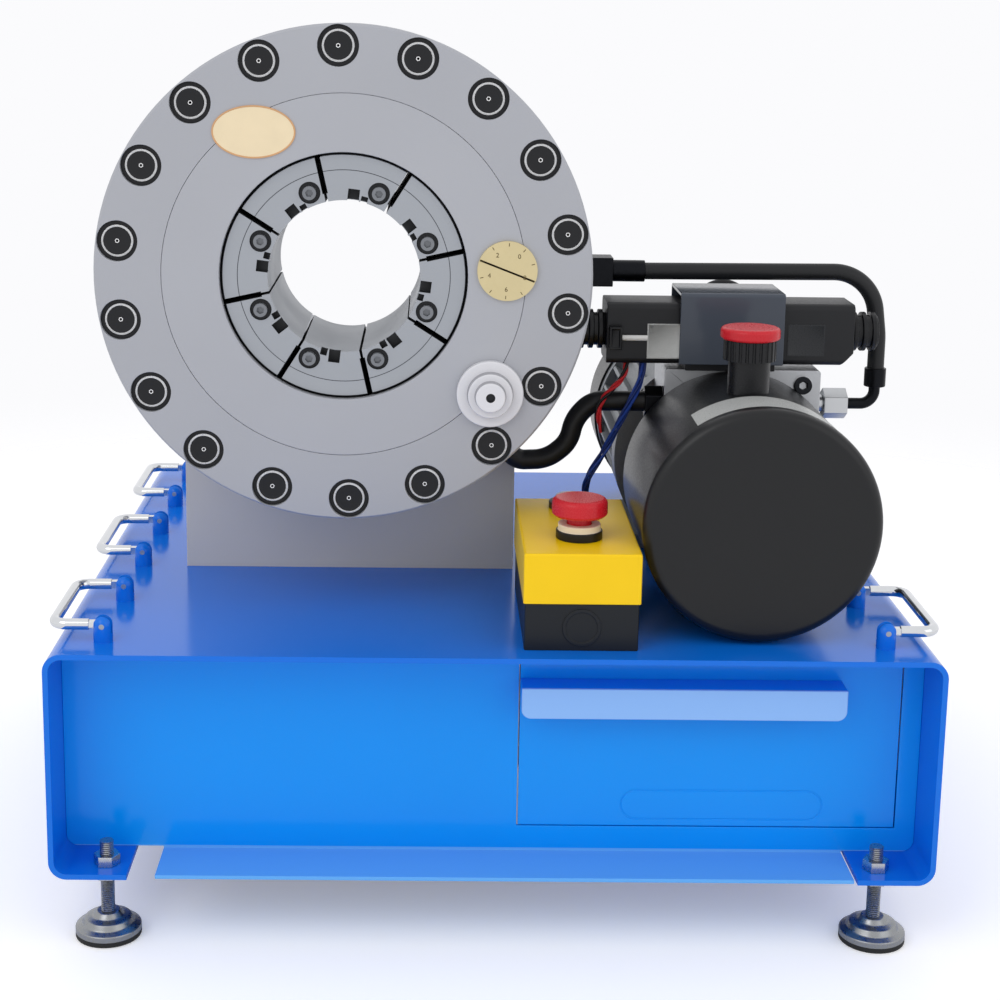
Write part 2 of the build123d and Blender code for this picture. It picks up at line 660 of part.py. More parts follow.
def handle_post(x, y):
    """Round-topped fork that carries one end of a handle."""
    post = rod(POST_RADIUS, (x, y, BASE_TOP), (x, y, PIVOT_Z)) + Pos(x, y, PIVOT_Z) * Sphere(POST_RADIUS)
    post -= block(x - POST_RADIUS - 1, x + POST_RADIUS + 1, y - POST_SLOT / 2, y + POST_SLOT / 2,
                  PIVOT_Z - EYE_RADIUS - 1, PIVOT_Z + POST_RADIUS + 1)
    return post - rod(PIN_RADIUS, (x, y - POST_RADIUS - 1, PIVOT_Z), (x, y + POST_RADIUS + 1, PIVOT_Z))


def handle_pin(x, y):
    """Cross pin of one fork."""
    half = POST_RADIUS - 0.4
    return rod(PIN_RADIUS, (x, y - half, PIVOT_Z), (x, y + half, PIVOT_Z))


# ---- crimping head --------------------------------------------------------------------------------------
def on_circle(radius, count, phase=90.0):
    """Places evenly spaced on a circle about the local z axis."""
    return PolarLocations(radius, count, start_angle=phase)


def head_cover():
    """Thick front cover with counterbored screw holes; the cone ring fills its middle."""
    cover = disc(HEAD_RADIUS, 0, -COVER_THICKNESS)
    cover = chamfer(cover.edges().group_by(Axis.Z)[-1], COVER_CHAMFER)
    cover -= disc(COVER_BORE, 1, -COVER_THICKNESS - 1)
    seat = SCREW_SUNK + SCREW_HEAD_HEIGHT
    for place in on_circle(SCREW_CIRCLE, SCREW_COUNT):
        cover -= place * disc(COUNTERBORE, 1, -seat)
        cover -= place * disc(SCREW_SHANK + SCREW_CLEARANCE, -seat + 1, -COVER_THICKNESS - 1)
    spindle = Pos(*KNOB_PLACE, 0) * disc(KNOB_SPINDLE + RUNNING, 1, -KNOB_SPINDLE_DEPTH - KNOB_GAP)
    return TURNED_HEAD * cover - HEAD * spindle


def cone_ring():
    """Hardened ring in the cover: straight mouth, then the cone that closes the dies from the front."""
    outer = COVER_BORE - SEAT_GAP
    profile = Polyline((MOUTH_RADIUS, 0), (outer, 0), (outer, -COVER_THICKNESS),
                       (RING_SPIGOT_RADIUS, -COVER_THICKNESS), (RING_SPIGOT_RADIUS, RING_BACK),
                       (CONE_TOP, RING_BACK), (MOUTH_RADIUS, CONE_START), close=True)
    return TURNED_HEAD * turned(profile)


def cylinder_body():
    """Cylinder barrel with the screw holes, two drilled ports and a flat for the port block."""
    body = disc(BARREL_RADIUS, -COVER_THICKNESS, BARREL_BACK)
    body -= disc(BARREL_BORE, -COVER_THICKNESS + 1, BARREL_BACK - 1)
    hole_end = -(SCREW_SUNK + SCREW_HEAD_HEIGHT + SCREW_GRIP) - 2
    for place in on_circle(SCREW_CIRCLE, SCREW_COUNT):
        body -= place * disc(SCREW_SHANK, -COVER_THICKNESS + 1, hole_end)
    body = TURNED_HEAD * body
    half = PORT_BLOCK / 2
    return body - block(BARREL_RIGHT - PORT_FLAT_DEPTH, BARREL_RIGHT + 5, HOSE_Y - half, HOSE_Y + half,
                        HEAD_PORT_Z - half, HEAD_PORT_Z + half)


def screw():
    """Socket head cap screw with a dished top, head top at z = 0."""
    head = disc(SCREW_HEAD, 0, -SCREW_HEAD_HEIGHT)
    head = chamfer(head.edges().group_by(Axis.Z)[-1], SCREW_HEAD_CHAMFER)
    head -= disc(SCREW_HEAD - SCREW_HEAD_CHAMFER - SCREW_DISH / 2, 1, -SCREW_DISH)
    head -= Pos(0, 0, -SCREW_KEY_DEPTH) * extrude(hexagon_sketch(SCREW_KEY), amount=SCREW_KEY_DEPTH + 1)
    return head + disc(SCREW_SHANK, -SCREW_HEAD_HEIGHT + 1, -SCREW_HEAD_HEIGHT - SCREW_GRIP)


def cover_screws():
    """The screws of the front cover."""
    one = screw()
    sunk = Pos(0, 0, -SCREW_SUNK) * one
    return [TURNED_HEAD * place * sunk for place in on_circle(SCREW_CIRCLE, SCREW_COUNT)]


def rear_cover():
    """Screwed-in end cover that guides the tail of the piston; it has holes for a pin spanner."""
    cover = disc(BARREL_RADIUS, BARREL_BACK, COVER_BACK)
    cover = chamfer(cover.edges().group_by(Axis.Z)[0], 2 * COVER_CHAMFER)
    cover += disc(BARREL_BORE, BARREL_BACK + REAR_COVER_SPIGOT, BARREL_BACK)
    cover -= disc(PISTON_TAIL_RADIUS + PISTON_CLEARANCE, 0, COVER_BACK - 1)
    for place in on_circle(SPANNER_HOLE_CIRCLE, SPANNER_HOLE_COUNT):
        cover -= place * disc(SPANNER_HOLE_RADIUS, COVER_BACK + SPANNER_HOLE_DEPTH, COVER_BACK - 1)
    return TURNED_HEAD * cover


def ring_piston():
    """Ring piston: a cone inside its mouth, seal grooves outside and a tail tube behind."""
    outer = BARREL_BORE - PISTON_CLEARANCE
    cone_back = PISTON_MOUTH - CONE_TAPER * PISTON_CONE_LENGTH
    profile = Polyline((PISTON_MOUTH, PISTON_FRONT), (outer, PISTON_FRONT), (outer, PISTON_BACK),
                       (PISTON_TAIL_RADIUS, PISTON_BACK), (PISTON_TAIL_RADIUS, -PISTON_TAIL_END),
                       (PISTON_BORE, -PISTON_TAIL_END), (PISTON_BORE, PISTON_CONE_BACK),
                       (cone_back, PISTON_CONE_BACK), close=True)
    piston = turned(profile)
    for i in range(SEAL_GROOVE_COUNT):
        front = PISTON_BACK + SEAL_GROOVE * (2 * i + 2)
        piston -= tube(outer + 1, outer - SEAL_GROOVE_DEPTH, front, front - SEAL_GROOVE)
    return TURNED_HEAD * piston


def die_sector(split):
    """Plan of one die about local +X, between two faces that stand half a split off the radial planes."""
    half_angle = math.radians(180 / DIE_COUNT)
    far = BARREL_BORE
    near = split / 2 / math.sin(half_angle)
    reach = (far - near) * math.tan(half_angle)
    return make_face(Polyline((near, 0), (far, reach), (far, -reach), close=True))


def crimp_die(index):
    """Master die with its two tapers, the adapter die inside it and the screw of the adapter."""
    wedge = Pos(0, 0, DIE_REAR) * extrude(die_sector(DIE_SPLIT), amount=DIE_LENGTH)
    front_radius = DIE_TOP - CONE_TAPER * (DIE_FRONT - DIE_BELT_FRONT)
    rear_radius = DIE_TOP - CONE_TAPER * (DIE_BELT_REAR - DIE_REAR)
    profile = Polyline((ADAPTER_OUTER, DIE_FRONT), (front_radius, DIE_FRONT), (DIE_TOP, DIE_BELT_FRONT),
                       (DIE_TOP, DIE_BELT_REAR), (rear_radius, DIE_REAR),
                       (ADAPTER_OUTER, DIE_REAR), close=True)
    master = turned(profile) & wedge
    plan = (Circle(ADAPTER_OUTER) - Circle(DIE_STEP)) & die_sector(DIE_SPLIT)
    plan += (Circle(DIE_STEP) - Circle(DIE_INNER)) & die_sector(DIE_SPLIT_INNER)
    adapter = Pos(0, 0, DIE_REAR) * extrude(plan, amount=DIE_LENGTH)
    for angle, width, depth in NOTCHES:
        notch = Rot(0, 0, angle) * Pos(DIE_INNER, 0, DIE_FRONT)
        adapter -= notch * Box(2 * depth, width, 2 * NOTCH_DEPTH)
    place = Rot(0, 0, DIE_SCREW_ANGLE) * Pos(DIE_SCREW_CIRCLE, 0, DIE_FRONT)
    seat = -DIE_SPOT_DEPTH
    adapter -= place * disc(DIE_SPOT_RADIUS, 1, seat)
    adapter -= place * disc(DIE_SCREW_SHANK, 1, seat - DIE_SCREW_LENGTH)
    top = seat + DIE_SCREW_HEAD_HEIGHT
    bolt = disc(DIE_SCREW_HEAD, top, seat) + disc(DIE_SCREW_SHANK, seat + 1, seat - DIE_SCREW_LENGTH)
    key = extrude(hexagon_sketch(DIE_SCREW_KEY), amount=DIE_SCREW_HEAD_HEIGHT)
    bolt -= Pos(0, 0, top - DIE_SCREW_HEAD_HEIGHT / 2) * key
    turn = TURNED_HEAD * Rot(0, 0, DIE_PHASE + index * 360 / DIE_COUNT)
    return [turn * master, turn * adapter, turn * place * bolt]


def dial_plate():
    """Round brass dial on the face with a line milled across it."""
    plate = disc(DIAL_RADIUS, DIAL_THICKNESS, 0)
    line = Box(2 * DIAL_RADIUS + 2, DIAL_LINE_WIDTH, DIAL_THICKNESS)
    plate -= Rot(0, 0, DIAL_LINE_ANGLE) * Pos(0, 0, DIAL_THICKNESS) * line
    return HEAD * Pos(*DIAL_PLACE, 0) * plate


def die_stop_knob():
    """Stepped plastic knob that sets where the dies stop, with its spindle."""
    knob = disc(KNOB_SPINDLE, KNOB_GAP + 1, -KNOB_SPINDLE_DEPTH)
    for radius, top in KNOB_STEPS:
        step = disc(radius, top, KNOB_GAP)
        knob += fillet(step.edges().group_by(Axis.Z)[-1], KNOB_ROUNDING)
    knob_top = KNOB_STEPS[-1][1]
    knob -= disc(KNOB_RECESS, knob_top + 1, knob_top - KNOB_RECESS)
    return HEAD * Pos(*KNOB_PLACE, 0) * knob


def pedestal():
    """Hollow welded stand; its top is cut to the round of the barrel."""
    x0 = HEAD_X - PEDESTAL_HALF
    x1 = HEAD_X + PEDESTAL_HALF
    y0 = FRONT_Y + PEDESTAL_FRONT
    y1 = y0 + PEDESTAL_DEPTH
    stand = block(x0, x1, y0, y1, BASE_TOP, PEDESTAL_TOP)
    stand -= block(x0 + PEDESTAL_WALL, x1 - PEDESTAL_WALL, y0 + PEDESTAL_WALL, y1 - PEDESTAL_WALL,
                   BASE_TOP - 1, PEDESTAL_TOP + 1)
    return stand - HEAD * disc(BARREL_RADIUS, 0, -2 * PISTON_TAIL_END)


# ---- control station ------------------------------------------------------------------------------------
def station_base():
    """Lower half of the push-button box, with a round knock-out on its front."""
    half = STATION_WIDTH / 2 - STATION_BASE_INSET
    y0 = STATION_Y0 + STATION_BASE_INSET
    y1 = STATION_Y1 - STATION_BASE_INSET
    x0 = STATION_X - half
    x1 = STATION_X + half
    shell = block(x0, x1, y0, y1, BASE_TOP, LID_LOW)
    shell = fillet(shell.edges().filter_by(Axis.Z), STATION_EDGE)
    shell -= block(x0 + STATION_WALL, x1 - STATION_WALL, y0 + STATION_WALL, y1 - STATION_WALL,
                   BASE_TOP + STATION_WALL, LID_LOW + 1)
    z = BASE_TOP + STATION_BASE_HEIGHT / 2
    boss = rod(KNOCKOUT_RADIUS, (STATION_X, y0 + 1, z), (STATION_X, y0 - KNOCKOUT_PROUD, z))
    boss -= rod(KNOCKOUT_RADIUS - 2.5, (STATION_X, y0 - 0.4, z), (STATION_X, y0 - KNOCKOUT_PROUD - 1, z))
    return shell + boss


def station_lid():
    """Yellow upper half of the box with two round button holes."""
    x0 = STATION_X - STATION_WIDTH / 2
    x1 = STATION_X + STATION_WIDTH / 2
    shell = block(x0, x1, STATION_Y0, STATION_Y1, LID_LOW, LID_TOP)
    shell = fillet(shell.edges().filter_by(Axis.Z) + shell.edges().group_by(Axis.Z)[-1], STATION_EDGE)
    shell -= block(x0 + STATION_WALL, x1 - STATION_WALL,
                   STATION_Y0 + STATION_WALL, STATION_Y1 - STATION_WALL,
                   LID_LOW - 1, LID_TOP - STATION_WALL)
    for y in (ESTOP_Y, BUTTON_Y):
        shell -= upright(COLLAR_BARREL, STATION_X, y, LID_LOW, LID_TOP + 1)
    return shell


def button_collars():
    """Black mounting collars of the two buttons."""
    low = LID_TOP - COLLAR_BARREL_DEPTH
    floor = low + COLLAR_FLOOR
    stop = upright(COLLAR_RADIUS, STATION_X, ESTOP_Y, LID_TOP, LID_TOP + COLLAR_HEIGHT)
    stop += upright(COLLAR_NECK_RADIUS, STATION_X, ESTOP_Y, LID_TOP, LID_TOP + COLLAR_NECK_TOP)
    stop += upright(COLLAR_BARREL, STATION_X, ESTOP_Y, low, LID_TOP)
    stop -= upright(ESTOP_STEM + RUNNING, STATION_X, ESTOP_Y, floor, LID_TOP + COLLAR_NECK_TOP + 1)
    push = upright(COLLAR_RADIUS, STATION_X, BUTTON_Y, LID_TOP, LID_TOP + BEZEL_HEIGHT)
    push += upright(COLLAR_BARREL, STATION_X, BUTTON_Y, low, LID_TOP)
    push -= upright(BUTTON_RADIUS + RUNNING, STATION_X, BUTTON_Y, floor, LID_TOP + BEZEL_HEIGHT + 1)
    return stop, push


def estop_button():
    """Mushroom head and stem of the stop button."""
    low = LID_TOP + ESTOP_UNDERSIDE
    head = Cylinder(ESTOP_RADIUS, ESTOP_RIM, align=LOW)
    head = chamfer(head.edges().group_by(Axis.Z)[0], ESTOP_CHAMFER)
    head += Pos(0, 0, ESTOP_RIM) * Cylinder(ESTOP_RADIUS, ESTOP_CROWN, align=LOW)
    head = fillet(head.edges().group_by(Axis.Z)[-1], ESTOP_CROWN - 0.3)
    stem_low = LID_TOP - COLLAR_BARREL_DEPTH + COLLAR_FLOOR + ESTOP_TRAVEL + TRAVEL_SPARE
    return Pos(STATION_X, ESTOP_Y, low) * head + upright(ESTOP_STEM, STATION_X, ESTOP_Y, stem_low, low + 1)


def push_button():
    """Cap of the second push button."""
    low = LID_TOP - COLLAR_BARREL_DEPTH + COLLAR_FLOOR + BUTTON_TRAVEL + TRAVEL_SPARE
    cap = upright(BUTTON_RADIUS, STATION_X, BUTTON_Y, low, LID_TOP + BUTTON_TOP)
    return fillet(cap.edges().group_by(Axis.Z)[-1], STATION_EDGE)


# ---- power pack -----------------------------------------------------------------------------------------
def oil_tank():
    """Round oil tank with a rolled front rim, hollow, open only under the filler neck."""
    rim = disc(TANK_RIM_RADIUS, 0, -TANK_RIM_WIDTH)
    rim = fillet(rim.edges().group_by(Axis.Z)[-1], TANK_EDGE)
    shell = rim + disc(TANK_RADIUS, -TANK_EDGE, -TANK_LENGTH)
    shell -= disc(TANK_RADIUS - TANK_WALL, -TANK_EDGE, -TANK_LENGTH + TANK_WALL)
    return TANK * shell - upright(NECK_BORE, NECK_X, NECK_Y, TANK_Z, TANK_Z + 2 * TANK_RADIUS)


def filler_neck():
    """Neck standing on the tank with a ribbed collar round its mouth."""
    foot = TANK_Z + TANK_RADIUS - TANK_RADIUS / 8
    neck = upright(NECK_RADIUS, NECK_X, NECK_Y, foot, NECK_TOP)
    neck += upright(NECK_COLLAR_RADIUS, NECK_X, NECK_Y, NECK_TOP, NECK_COLLAR_TOP)
    for place in Pos(NECK_X, NECK_Y, NECK_TOP) * PolarLocations(NECK_COLLAR_RADIUS, NECK_GRIP_COUNT):
        neck -= place * Cylinder(NECK_GRIP_RADIUS, 4 * (NECK_COLLAR_TOP - NECK_TOP))
    neck -= upright(NECK_BORE, NECK_X, NECK_Y, foot - 1, NECK_COLLAR_TOP + 1)
    return neck - TANK * disc(TANK_RADIUS, TANK_RIM_WIDTH, -TANK_LENGTH)


def filler_cap():
    """Breather cap that turns on the neck."""
    low = NECK_COLLAR_TOP + CAP_GAP
    cap = upright(CAP_RADIUS, NECK_X, NECK_Y, low, low + CAP_THICKNESS)
    cap = fillet(cap.edges().group_by(Axis.Z)[-1], CAP_ROUNDING)
    cap = chamfer(cap.edges().group_by(Axis.Z)[0], CAP_ROUNDING / 2)
    return cap + upright(NECK_BORE - CAP_GAP, NECK_X, NECK_Y, low - CAP_PLUG_DEPTH, low + 1)


def pump_block():
    """Aluminium manifold between tank and motor, with the round pump mount below and a port plug."""
    body = block(PUMP_LEFT, PUMP_RIGHT, TANK_BACK_Y, PUMP_BACK_Y, PUMP_LOW, PUMP_TOP)
    body = chamfer(body.edges().filter_by(Axis.Y), PUMP_EDGE)
    body += along_y(PUMP_BARREL_RADIUS, TANK_X, TANK_Z, TANK_BACK_Y, PUMP_BACK_Y)
    inset_x, inset_z = PORT_PLUG_INSET
    x = PUMP_RIGHT - inset_x - PORT_PLUG_RADIUS
    z = PUMP_TOP - inset_z
    plug = along_y(PORT_PLUG_RADIUS, x, z, TANK_BACK_Y - PORT_PLUG_PROUD, TANK_BACK_Y + 1)
    key = hexagon(PORT_PLUG_KEY, (x, TANK_BACK_Y - PORT_PLUG_PROUD - 1, z), PORT_PLUG_PROUD + 1, (0, 1, 0))
    return body + plug - key


def motor_housing():
    """Finned motor housing between two smooth end shields, on cast feet."""
    y0 = PUMP_BACK_Y
    y1 = MOTOR_BACK_Y
    middle = (y0 + y1) / 2
    outer = MOTOR_RADIUS + MOTOR_FIN_HEIGHT
    body = along_y(MOTOR_RADIUS, TANK_X, TANK_Z, y0, y1)
    body += along_y(outer, TANK_X, TANK_Z, y0, y0 + MOTOR_SHIELD)
    body += along_y(outer, TANK_X, TANK_Z, y1 - MOTOR_SHIELD, y1)
    plane = Plane(origin=(TANK_X, middle, TANK_Z), x_dir=(1, 0, 0), z_dir=(0, -1, 0))
    fin = Box(2 * MOTOR_FIN_HEIGHT - 1, MOTOR_FIN_THICKNESS, MOTOR_LENGTH - MOTOR_SHIELD)
    fin = Pos(MOTOR_RADIUS, 0, 0) * fin
    for i in range(MOTOR_FIN_COUNT):
        body += plane * Rot(0, 0, 360 / MOTOR_FIN_COUNT * (i + 0.5)) * fin
    half = MOTOR_FOOT_WIDTH / 2
    half_length = MOTOR_FOOT_LENGTH / 2
    web_half = half - MOTOR_WEB_INSET
    body += block(TANK_X - half, TANK_X + half, middle - half_length, middle + half_length,
                  BASE_TOP, BASE_TOP + MOTOR_FOOT_HEIGHT)
    body += block(TANK_X - web_half, TANK_X + web_half, middle - half_length, middle + half_length,
                  BASE_TOP + 1, TANK_Z - MOTOR_RADIUS / 2)
    body += upright(EYE_BOLT_COLLAR, TANK_X, EYE_BOLT_Y, TANK_Z, EYE_BOLT_SEAT)
    return body - along_y(SHAFT_RADIUS + RUNNING, TANK_X, TANK_Z, y0 - 1, y1 + 1)


def motor_shaft():
    """Shaft through the motor, from the pump to the fan."""
    return along_y(SHAFT_RADIUS, TANK_X, TANK_Z, PUMP_BACK_Y + CAP_GAP, MOTOR_BACK_Y + SHAFT_TAIL)


def cooling_fan():
    """Radial fan on the tail of the shaft."""
    y1 = FAN_Y + FAN_BLADE_LENGTH
    fan = along_y(FAN_HUB, TANK_X, TANK_Z, FAN_Y, y1)
    fan += along_y(FAN_RADIUS, TANK_X, TANK_Z, FAN_Y, FAN_Y + FAN_DISC)
    plane = Plane(origin=(TANK_X, FAN_Y, TANK_Z), x_dir=(1, 0, 0), z_dir=(0, 1, 0))
    inner = FAN_HUB - 1
    blade = Pos((inner + FAN_RADIUS) / 2, 0, FAN_BLADE_LENGTH / 2)
    blade *= Box(FAN_RADIUS - inner, FAN_BLADE_THICKNESS, FAN_BLADE_LENGTH)
    for i in range(FAN_BLADES):
        fan += plane * Rot(0, 0, 360 / FAN_BLADES * i) * blade
    return fan - along_y(SHAFT_RADIUS, TANK_X, TANK_Z, FAN_Y - 1, y1 + 1)


def fan_cover():
    """Pressed fan cover with a grille in its end; it laps over the end shield of the motor."""
    plane = Plane(origin=(TANK_X, MOTOR_BACK_Y, TANK_Z), x_dir=(1, 0, 0), z_dir=(0, 1, 0))
    inside = FAN_COVER_RADIUS - FAN_COVER_WALL
    shell = Cylinder(FAN_COVER_RADIUS, FAN_COVER_LENGTH + FAN_COVER_LAP, align=LOW)
    shell = Pos(0, 0, -FAN_COVER_LAP) * shell
    shell = fillet(shell.edges().group_by(Axis.Z)[-1], 3 * FAN_COVER_WALL)
    depth = FAN_COVER_LENGTH + FAN_COVER_LAP + 1 - FAN_COVER_WALL
    shell -= Pos(0, 0, -FAN_COVER_LAP - 1) * Cylinder(inside, depth, align=LOW)
    slots = Circle(GRILLE_RINGS[0] / 2)
    for radius in GRILLE_RINGS:
        slots += Circle(radius + GRILLE_SLOT / 2) - Circle(radius - GRILLE_SLOT / 2)
    for i in range(GRILLE_SPOKES):
        slots -= Rot(0, 0, 180 / GRILLE_SPOKES * i) * Rectangle(2 * FAN_COVER_RADIUS, GRILLE_SPOKE_WIDTH)
    end = FAN_COVER_LENGTH - 2 * FAN_COVER_WALL
    shell -= extrude(Pos(0, 0, end) * slots, amount=4 * FAN_COVER_WALL)
    return plane * shell


def lifting_eye():
    """Lifting eye on top of the motor."""
    ring_z = EYE_BOLT_SEAT + EYE_BOLT_RISE
    ring = Plane(origin=(TANK_X, EYE_BOLT_Y, ring_z), z_dir=(0, 1, 0)) * Torus(EYE_BOLT_RADIUS, EYE_BOLT_ROD)
    collar_top = ring_z - EYE_BOLT_RADIUS
    return ring + upright(EYE_BOLT_COLLAR, TANK_X, EYE_BOLT_Y, EYE_BOLT_SEAT, collar_top)


# ---- directional valve ----------------------------------------------------------------------------------
def valve_body():
    """Iron body of the valve on top of the manifold, between the two coils."""
    half = VALVE_DEPTH / 2
    top = COVER_TOP - COVER_SHEET
    return block(VALVE_BODY_LEFT, VALVE_BODY_RIGHT, VALVE_Y - half, VALVE_Y + half, PUMP_TOP, top)


def coil(x0, x1, cut_side):
    """Square coil housing with rounded long edges."""
    half = VALVE_DEPTH / 2
    body = block(x0, x1, VALVE_Y - half, VALVE_Y + half, COIL_LOW, COIL_HIGH)
    body = fillet(body.edges().filter_by(Axis.X), COIL_EDGE)
    if cut_side:
        x_edge = x1 if cut_side > 0 else x0
        wedge = make_face(Polyline((x_edge + 1, COIL_LOW - 1), (x_edge - cut_side * COIL_CUT, COIL_LOW - 1),
                                   (x_edge + 1, COIL_LOW + COIL_CUT + 1), close=True))
        body -= frontal(wedge, VALVE_Y + half + 1, VALVE_DEPTH + 2)
    return body


def coil_nut(x, side):
    """Ribbed end nut of a coil."""
    tip = x + side * COIL_NUT_LENGTH
    nut = rod(COIL_NUT_RADIUS, (x, VALVE_Y, VALVE_Z), (tip, VALVE_Y, VALVE_Z))
    pitch = COIL_NUT_LENGTH / COIL_NUT_RIBS
    for i in range(COIL_NUT_RIBS):
        start = x + side * (pitch * i + 0.25 * pitch)
        nut += rod(COIL_NUT_RIB, (start, VALVE_Y, VALVE_Z), (start + side * pitch / 2, VALVE_Y, VALVE_Z))
    return nut


def wiring_cover():
    """Saddle-shaped cover over the middle of the valve."""
    half = VALVE_DEPTH / 2 + COVER_GAP
    outer = block(COVER_LEFT, COVER_RIGHT, VALVE_Y - half - COVER_SHEET, VALVE_Y + half + COVER_SHEET,
                  COVER_LOW, COVER_TOP)
    outer = fillet(outer.edges().filter_by(Axis.X).group_by(Axis.Z)[-1], COVER_SHEET)
    return outer - block(COVER_LEFT - 1, COVER_RIGHT + 1, VALVE_Y - half, VALVE_Y + half,
                         COVER_LOW - 1, COVER_TOP - COVER_SHEET)


# ---- hoses ----------------------------------------------------------------------------------------------
def port_direction():
    """Way out of the return port of the barrel."""
    angle = math.radians(RETURN_PORT_ANGLE)
    return Vector(math.cos(angle), 0, math.sin(angle))


def return_start():
    """Where the return hose leaves its nipple on the barrel."""
    surface = Vector(HEAD_X, RETURN_Y, HEAD_Z) + port_direction() * BARREL_RADIUS
    return surface + port_direction() * RETURN_NIPPLE


def hose_start():
    """Where the pressure hose leaves its ferrule at the head."""
    return (BARREL_RIGHT + PORT_BLOCK_REACH + FERRULE_LENGTH, HOSE_Y, HEAD_PORT_Z)


def hose_fittings():
    """Port block and ferrule at the head; adaptor, nut, elbow and ferrule at the pump; return nipples."""
    z = HEAD_PORT_Z
    half = PORT_BLOCK / 2
    block_end = BARREL_RIGHT + PORT_BLOCK_REACH
    port = block(BARREL_RIGHT - PORT_FLAT_DEPTH, block_end, HOSE_Y - half, HOSE_Y + half, z - half, z + half)
    ferrule = rod(FERRULE_RADIUS, (block_end, HOSE_Y, z), hose_start())
    adaptor_end = PUMP_RIGHT + ADAPTOR_LENGTH
    nut_end = adaptor_end + PORT_NUT_LENGTH
    adaptor = rod(ADAPTOR_RADIUS, (PUMP_RIGHT, HOSE_Y, PUMP_PORT_Z), (adaptor_end, HOSE_Y, PUMP_PORT_Z))
    nut = hexagon(PORT_NUT_WIDTH, (adaptor_end, HOSE_Y, PUMP_PORT_Z), PORT_NUT_LENGTH, (1, 0, 0))
    elbow = pipe([(nut_end, HOSE_Y, PUMP_PORT_Z), (HOSE_DROP_X, HOSE_Y, PUMP_PORT_Z),
                  (HOSE_DROP_X, HOSE_Y, FERRULE_TOP_Z)], ELBOW_BEND, ELBOW_RADIUS)
    end = upright(FERRULE_RADIUS, HOSE_DROP_X, HOSE_Y, FERRULE_TOP_Z, FERRULE_TOP_Z + FERRULE_END)
    inside = return_start() - port_direction() * (RETURN_NIPPLE + PORT_FLAT_DEPTH)
    nipple = rod(RETURN_NIPPLE_RADIUS, tuple(inside), tuple(return_start()))
    nipple -= HEAD * disc(BARREL_RADIUS, 0, BARREL_BACK)
    pump_end = (PUMP_LEFT - RETURN_NIPPLE, RETURN_Y, RETURN_PORT_Z)
    union = hexagon(PORT_NUT_WIDTH, pump_end, RETURN_NIPPLE, (1, 0, 0))
    return port, ferrule, adaptor, nut, elbow, end, nipple, union


def pressure_hose():
    """Hose from the head over the valve and down to the right side of the pump."""
    end = (HOSE_DROP_X, HOSE_Y, FERRULE_TOP_Z + FERRULE_END)
    points = [hose_start(), (HOSE_DROP_X - 7, HOSE_Y, HEAD_PORT_Z + 1),
              (HOSE_DROP_X, HOSE_Y, HEAD_PORT_Z - 50), end]
    solid = pipe(points, [HOSE_BEND, 2 * HOSE_BEND], HOSE_RADIUS)
    return solid


# Points of the return hose, from the left side of the pump and the height of its port.
RETURN_BENDS = [(-114.6, -49), (-90, -48), (-73, -34), (-69, -15), (-55, 0)]


def return_hose():
    """Hose from the underside of the barrel up to the left side of the pump."""
    start = tuple(return_start())
    end = (PUMP_LEFT - RETURN_NIPPLE, RETURN_Y, RETURN_PORT_Z)
    bend = [(PUMP_LEFT + x, RETURN_Y, RETURN_PORT_Z + z) for x, z in RETURN_BENDS]
    points = [start, *bend, end]
    return cord("return_hose", points, RETURN_RADIUS)


# Wires from the coils: the bundle to the station and the two capped leads.
LOOM_START = (TANK_X - 72, -84, 400)
LOOM_STEPS = [(0, 0, 0), (0, 0, -12), (-7, -2, -28), (-18, -3, -50), (-30, -5, -74),
              (-43, -7, -94), (-42, 10, -116), (-38, 4, -132), (-35, -17, -132)]
LOOM_POINTS = [tuple(a + b for a, b in zip(LOOM_START, step)) for step in LOOM_STEPS]
LEADS_START = (TANK_X - 85, -84, 400)
LEADS_STEPS = [(0, 0, 0), (0, 0, -9), (-7, -3, -18), (-18, -5, -28), (-23, -7, -41), (-18, -9, -55)]
LEADS_POINTS = [tuple(a + b for a, b in zip(LEADS_START, step)) for step in LEADS_STEPS]


# ---- build ----------------------------------------------------------------------------------------------
os.makedirs("parts", exist_ok=True)

save("base_frame", base_frame())
save("front_panel", panel(PANEL_FRONT_Y, 1, True))
save("rear_panel", rear_panel())
save("foot_pads", *[foot_pad(x, y) for x, y in foot_places()])
save("foot_studs", *[foot_stud(x, y) for x, y in foot_places()])
save("foot_nuts", *[nut for x, y in foot_places() for nut in foot_nuts(x, y)])

save("drawer_front", drawer_front())
save("drawer_pull", drawer_pull())
save("drawer_tray", drawer_tray())
save("drawer_runners", *drawer_runners())
save("rail_channels", rail(DRAWER_LEFT + DRAWER_GAP, 1), rail(DRAWER_RIGHT - DRAWER_GAP, -1))

for side, side_name in ((-1, "left"), (1, "right")):
    for y, place_name in zip(HANDLE_YS, ("front", "middle", "rear")):
        save(f"{side_name}_handle_{place_name}", handle(side, y))
save("handle_posts", *[handle_post(x, y) for x, y in handle_hinges()])
save("handle_pins", *[handle_pin(x, y) for x, y in handle_hinges()])

save("pedestal", pedestal())
save("cylinder_body", cylinder_body())
save("head_cover", head_cover())
save("cone_ring", cone_ring())
save("cover_screws", *cover_screws())
save("rear_cover", rear_cover())
save("ring_piston", ring_piston())
for index in range(DIE_COUNT):
    save(f"crimp_die_{index + 1}", *crimp_die(index))
save("dial_plate", dial_plate())
save("die_stop_knob", die_stop_knob())

save("station_base", station_base())
save("station_lid", station_lid())
save("button_collars", *button_collars())
save("estop_button", estop_button())
save("push_button", push_button())

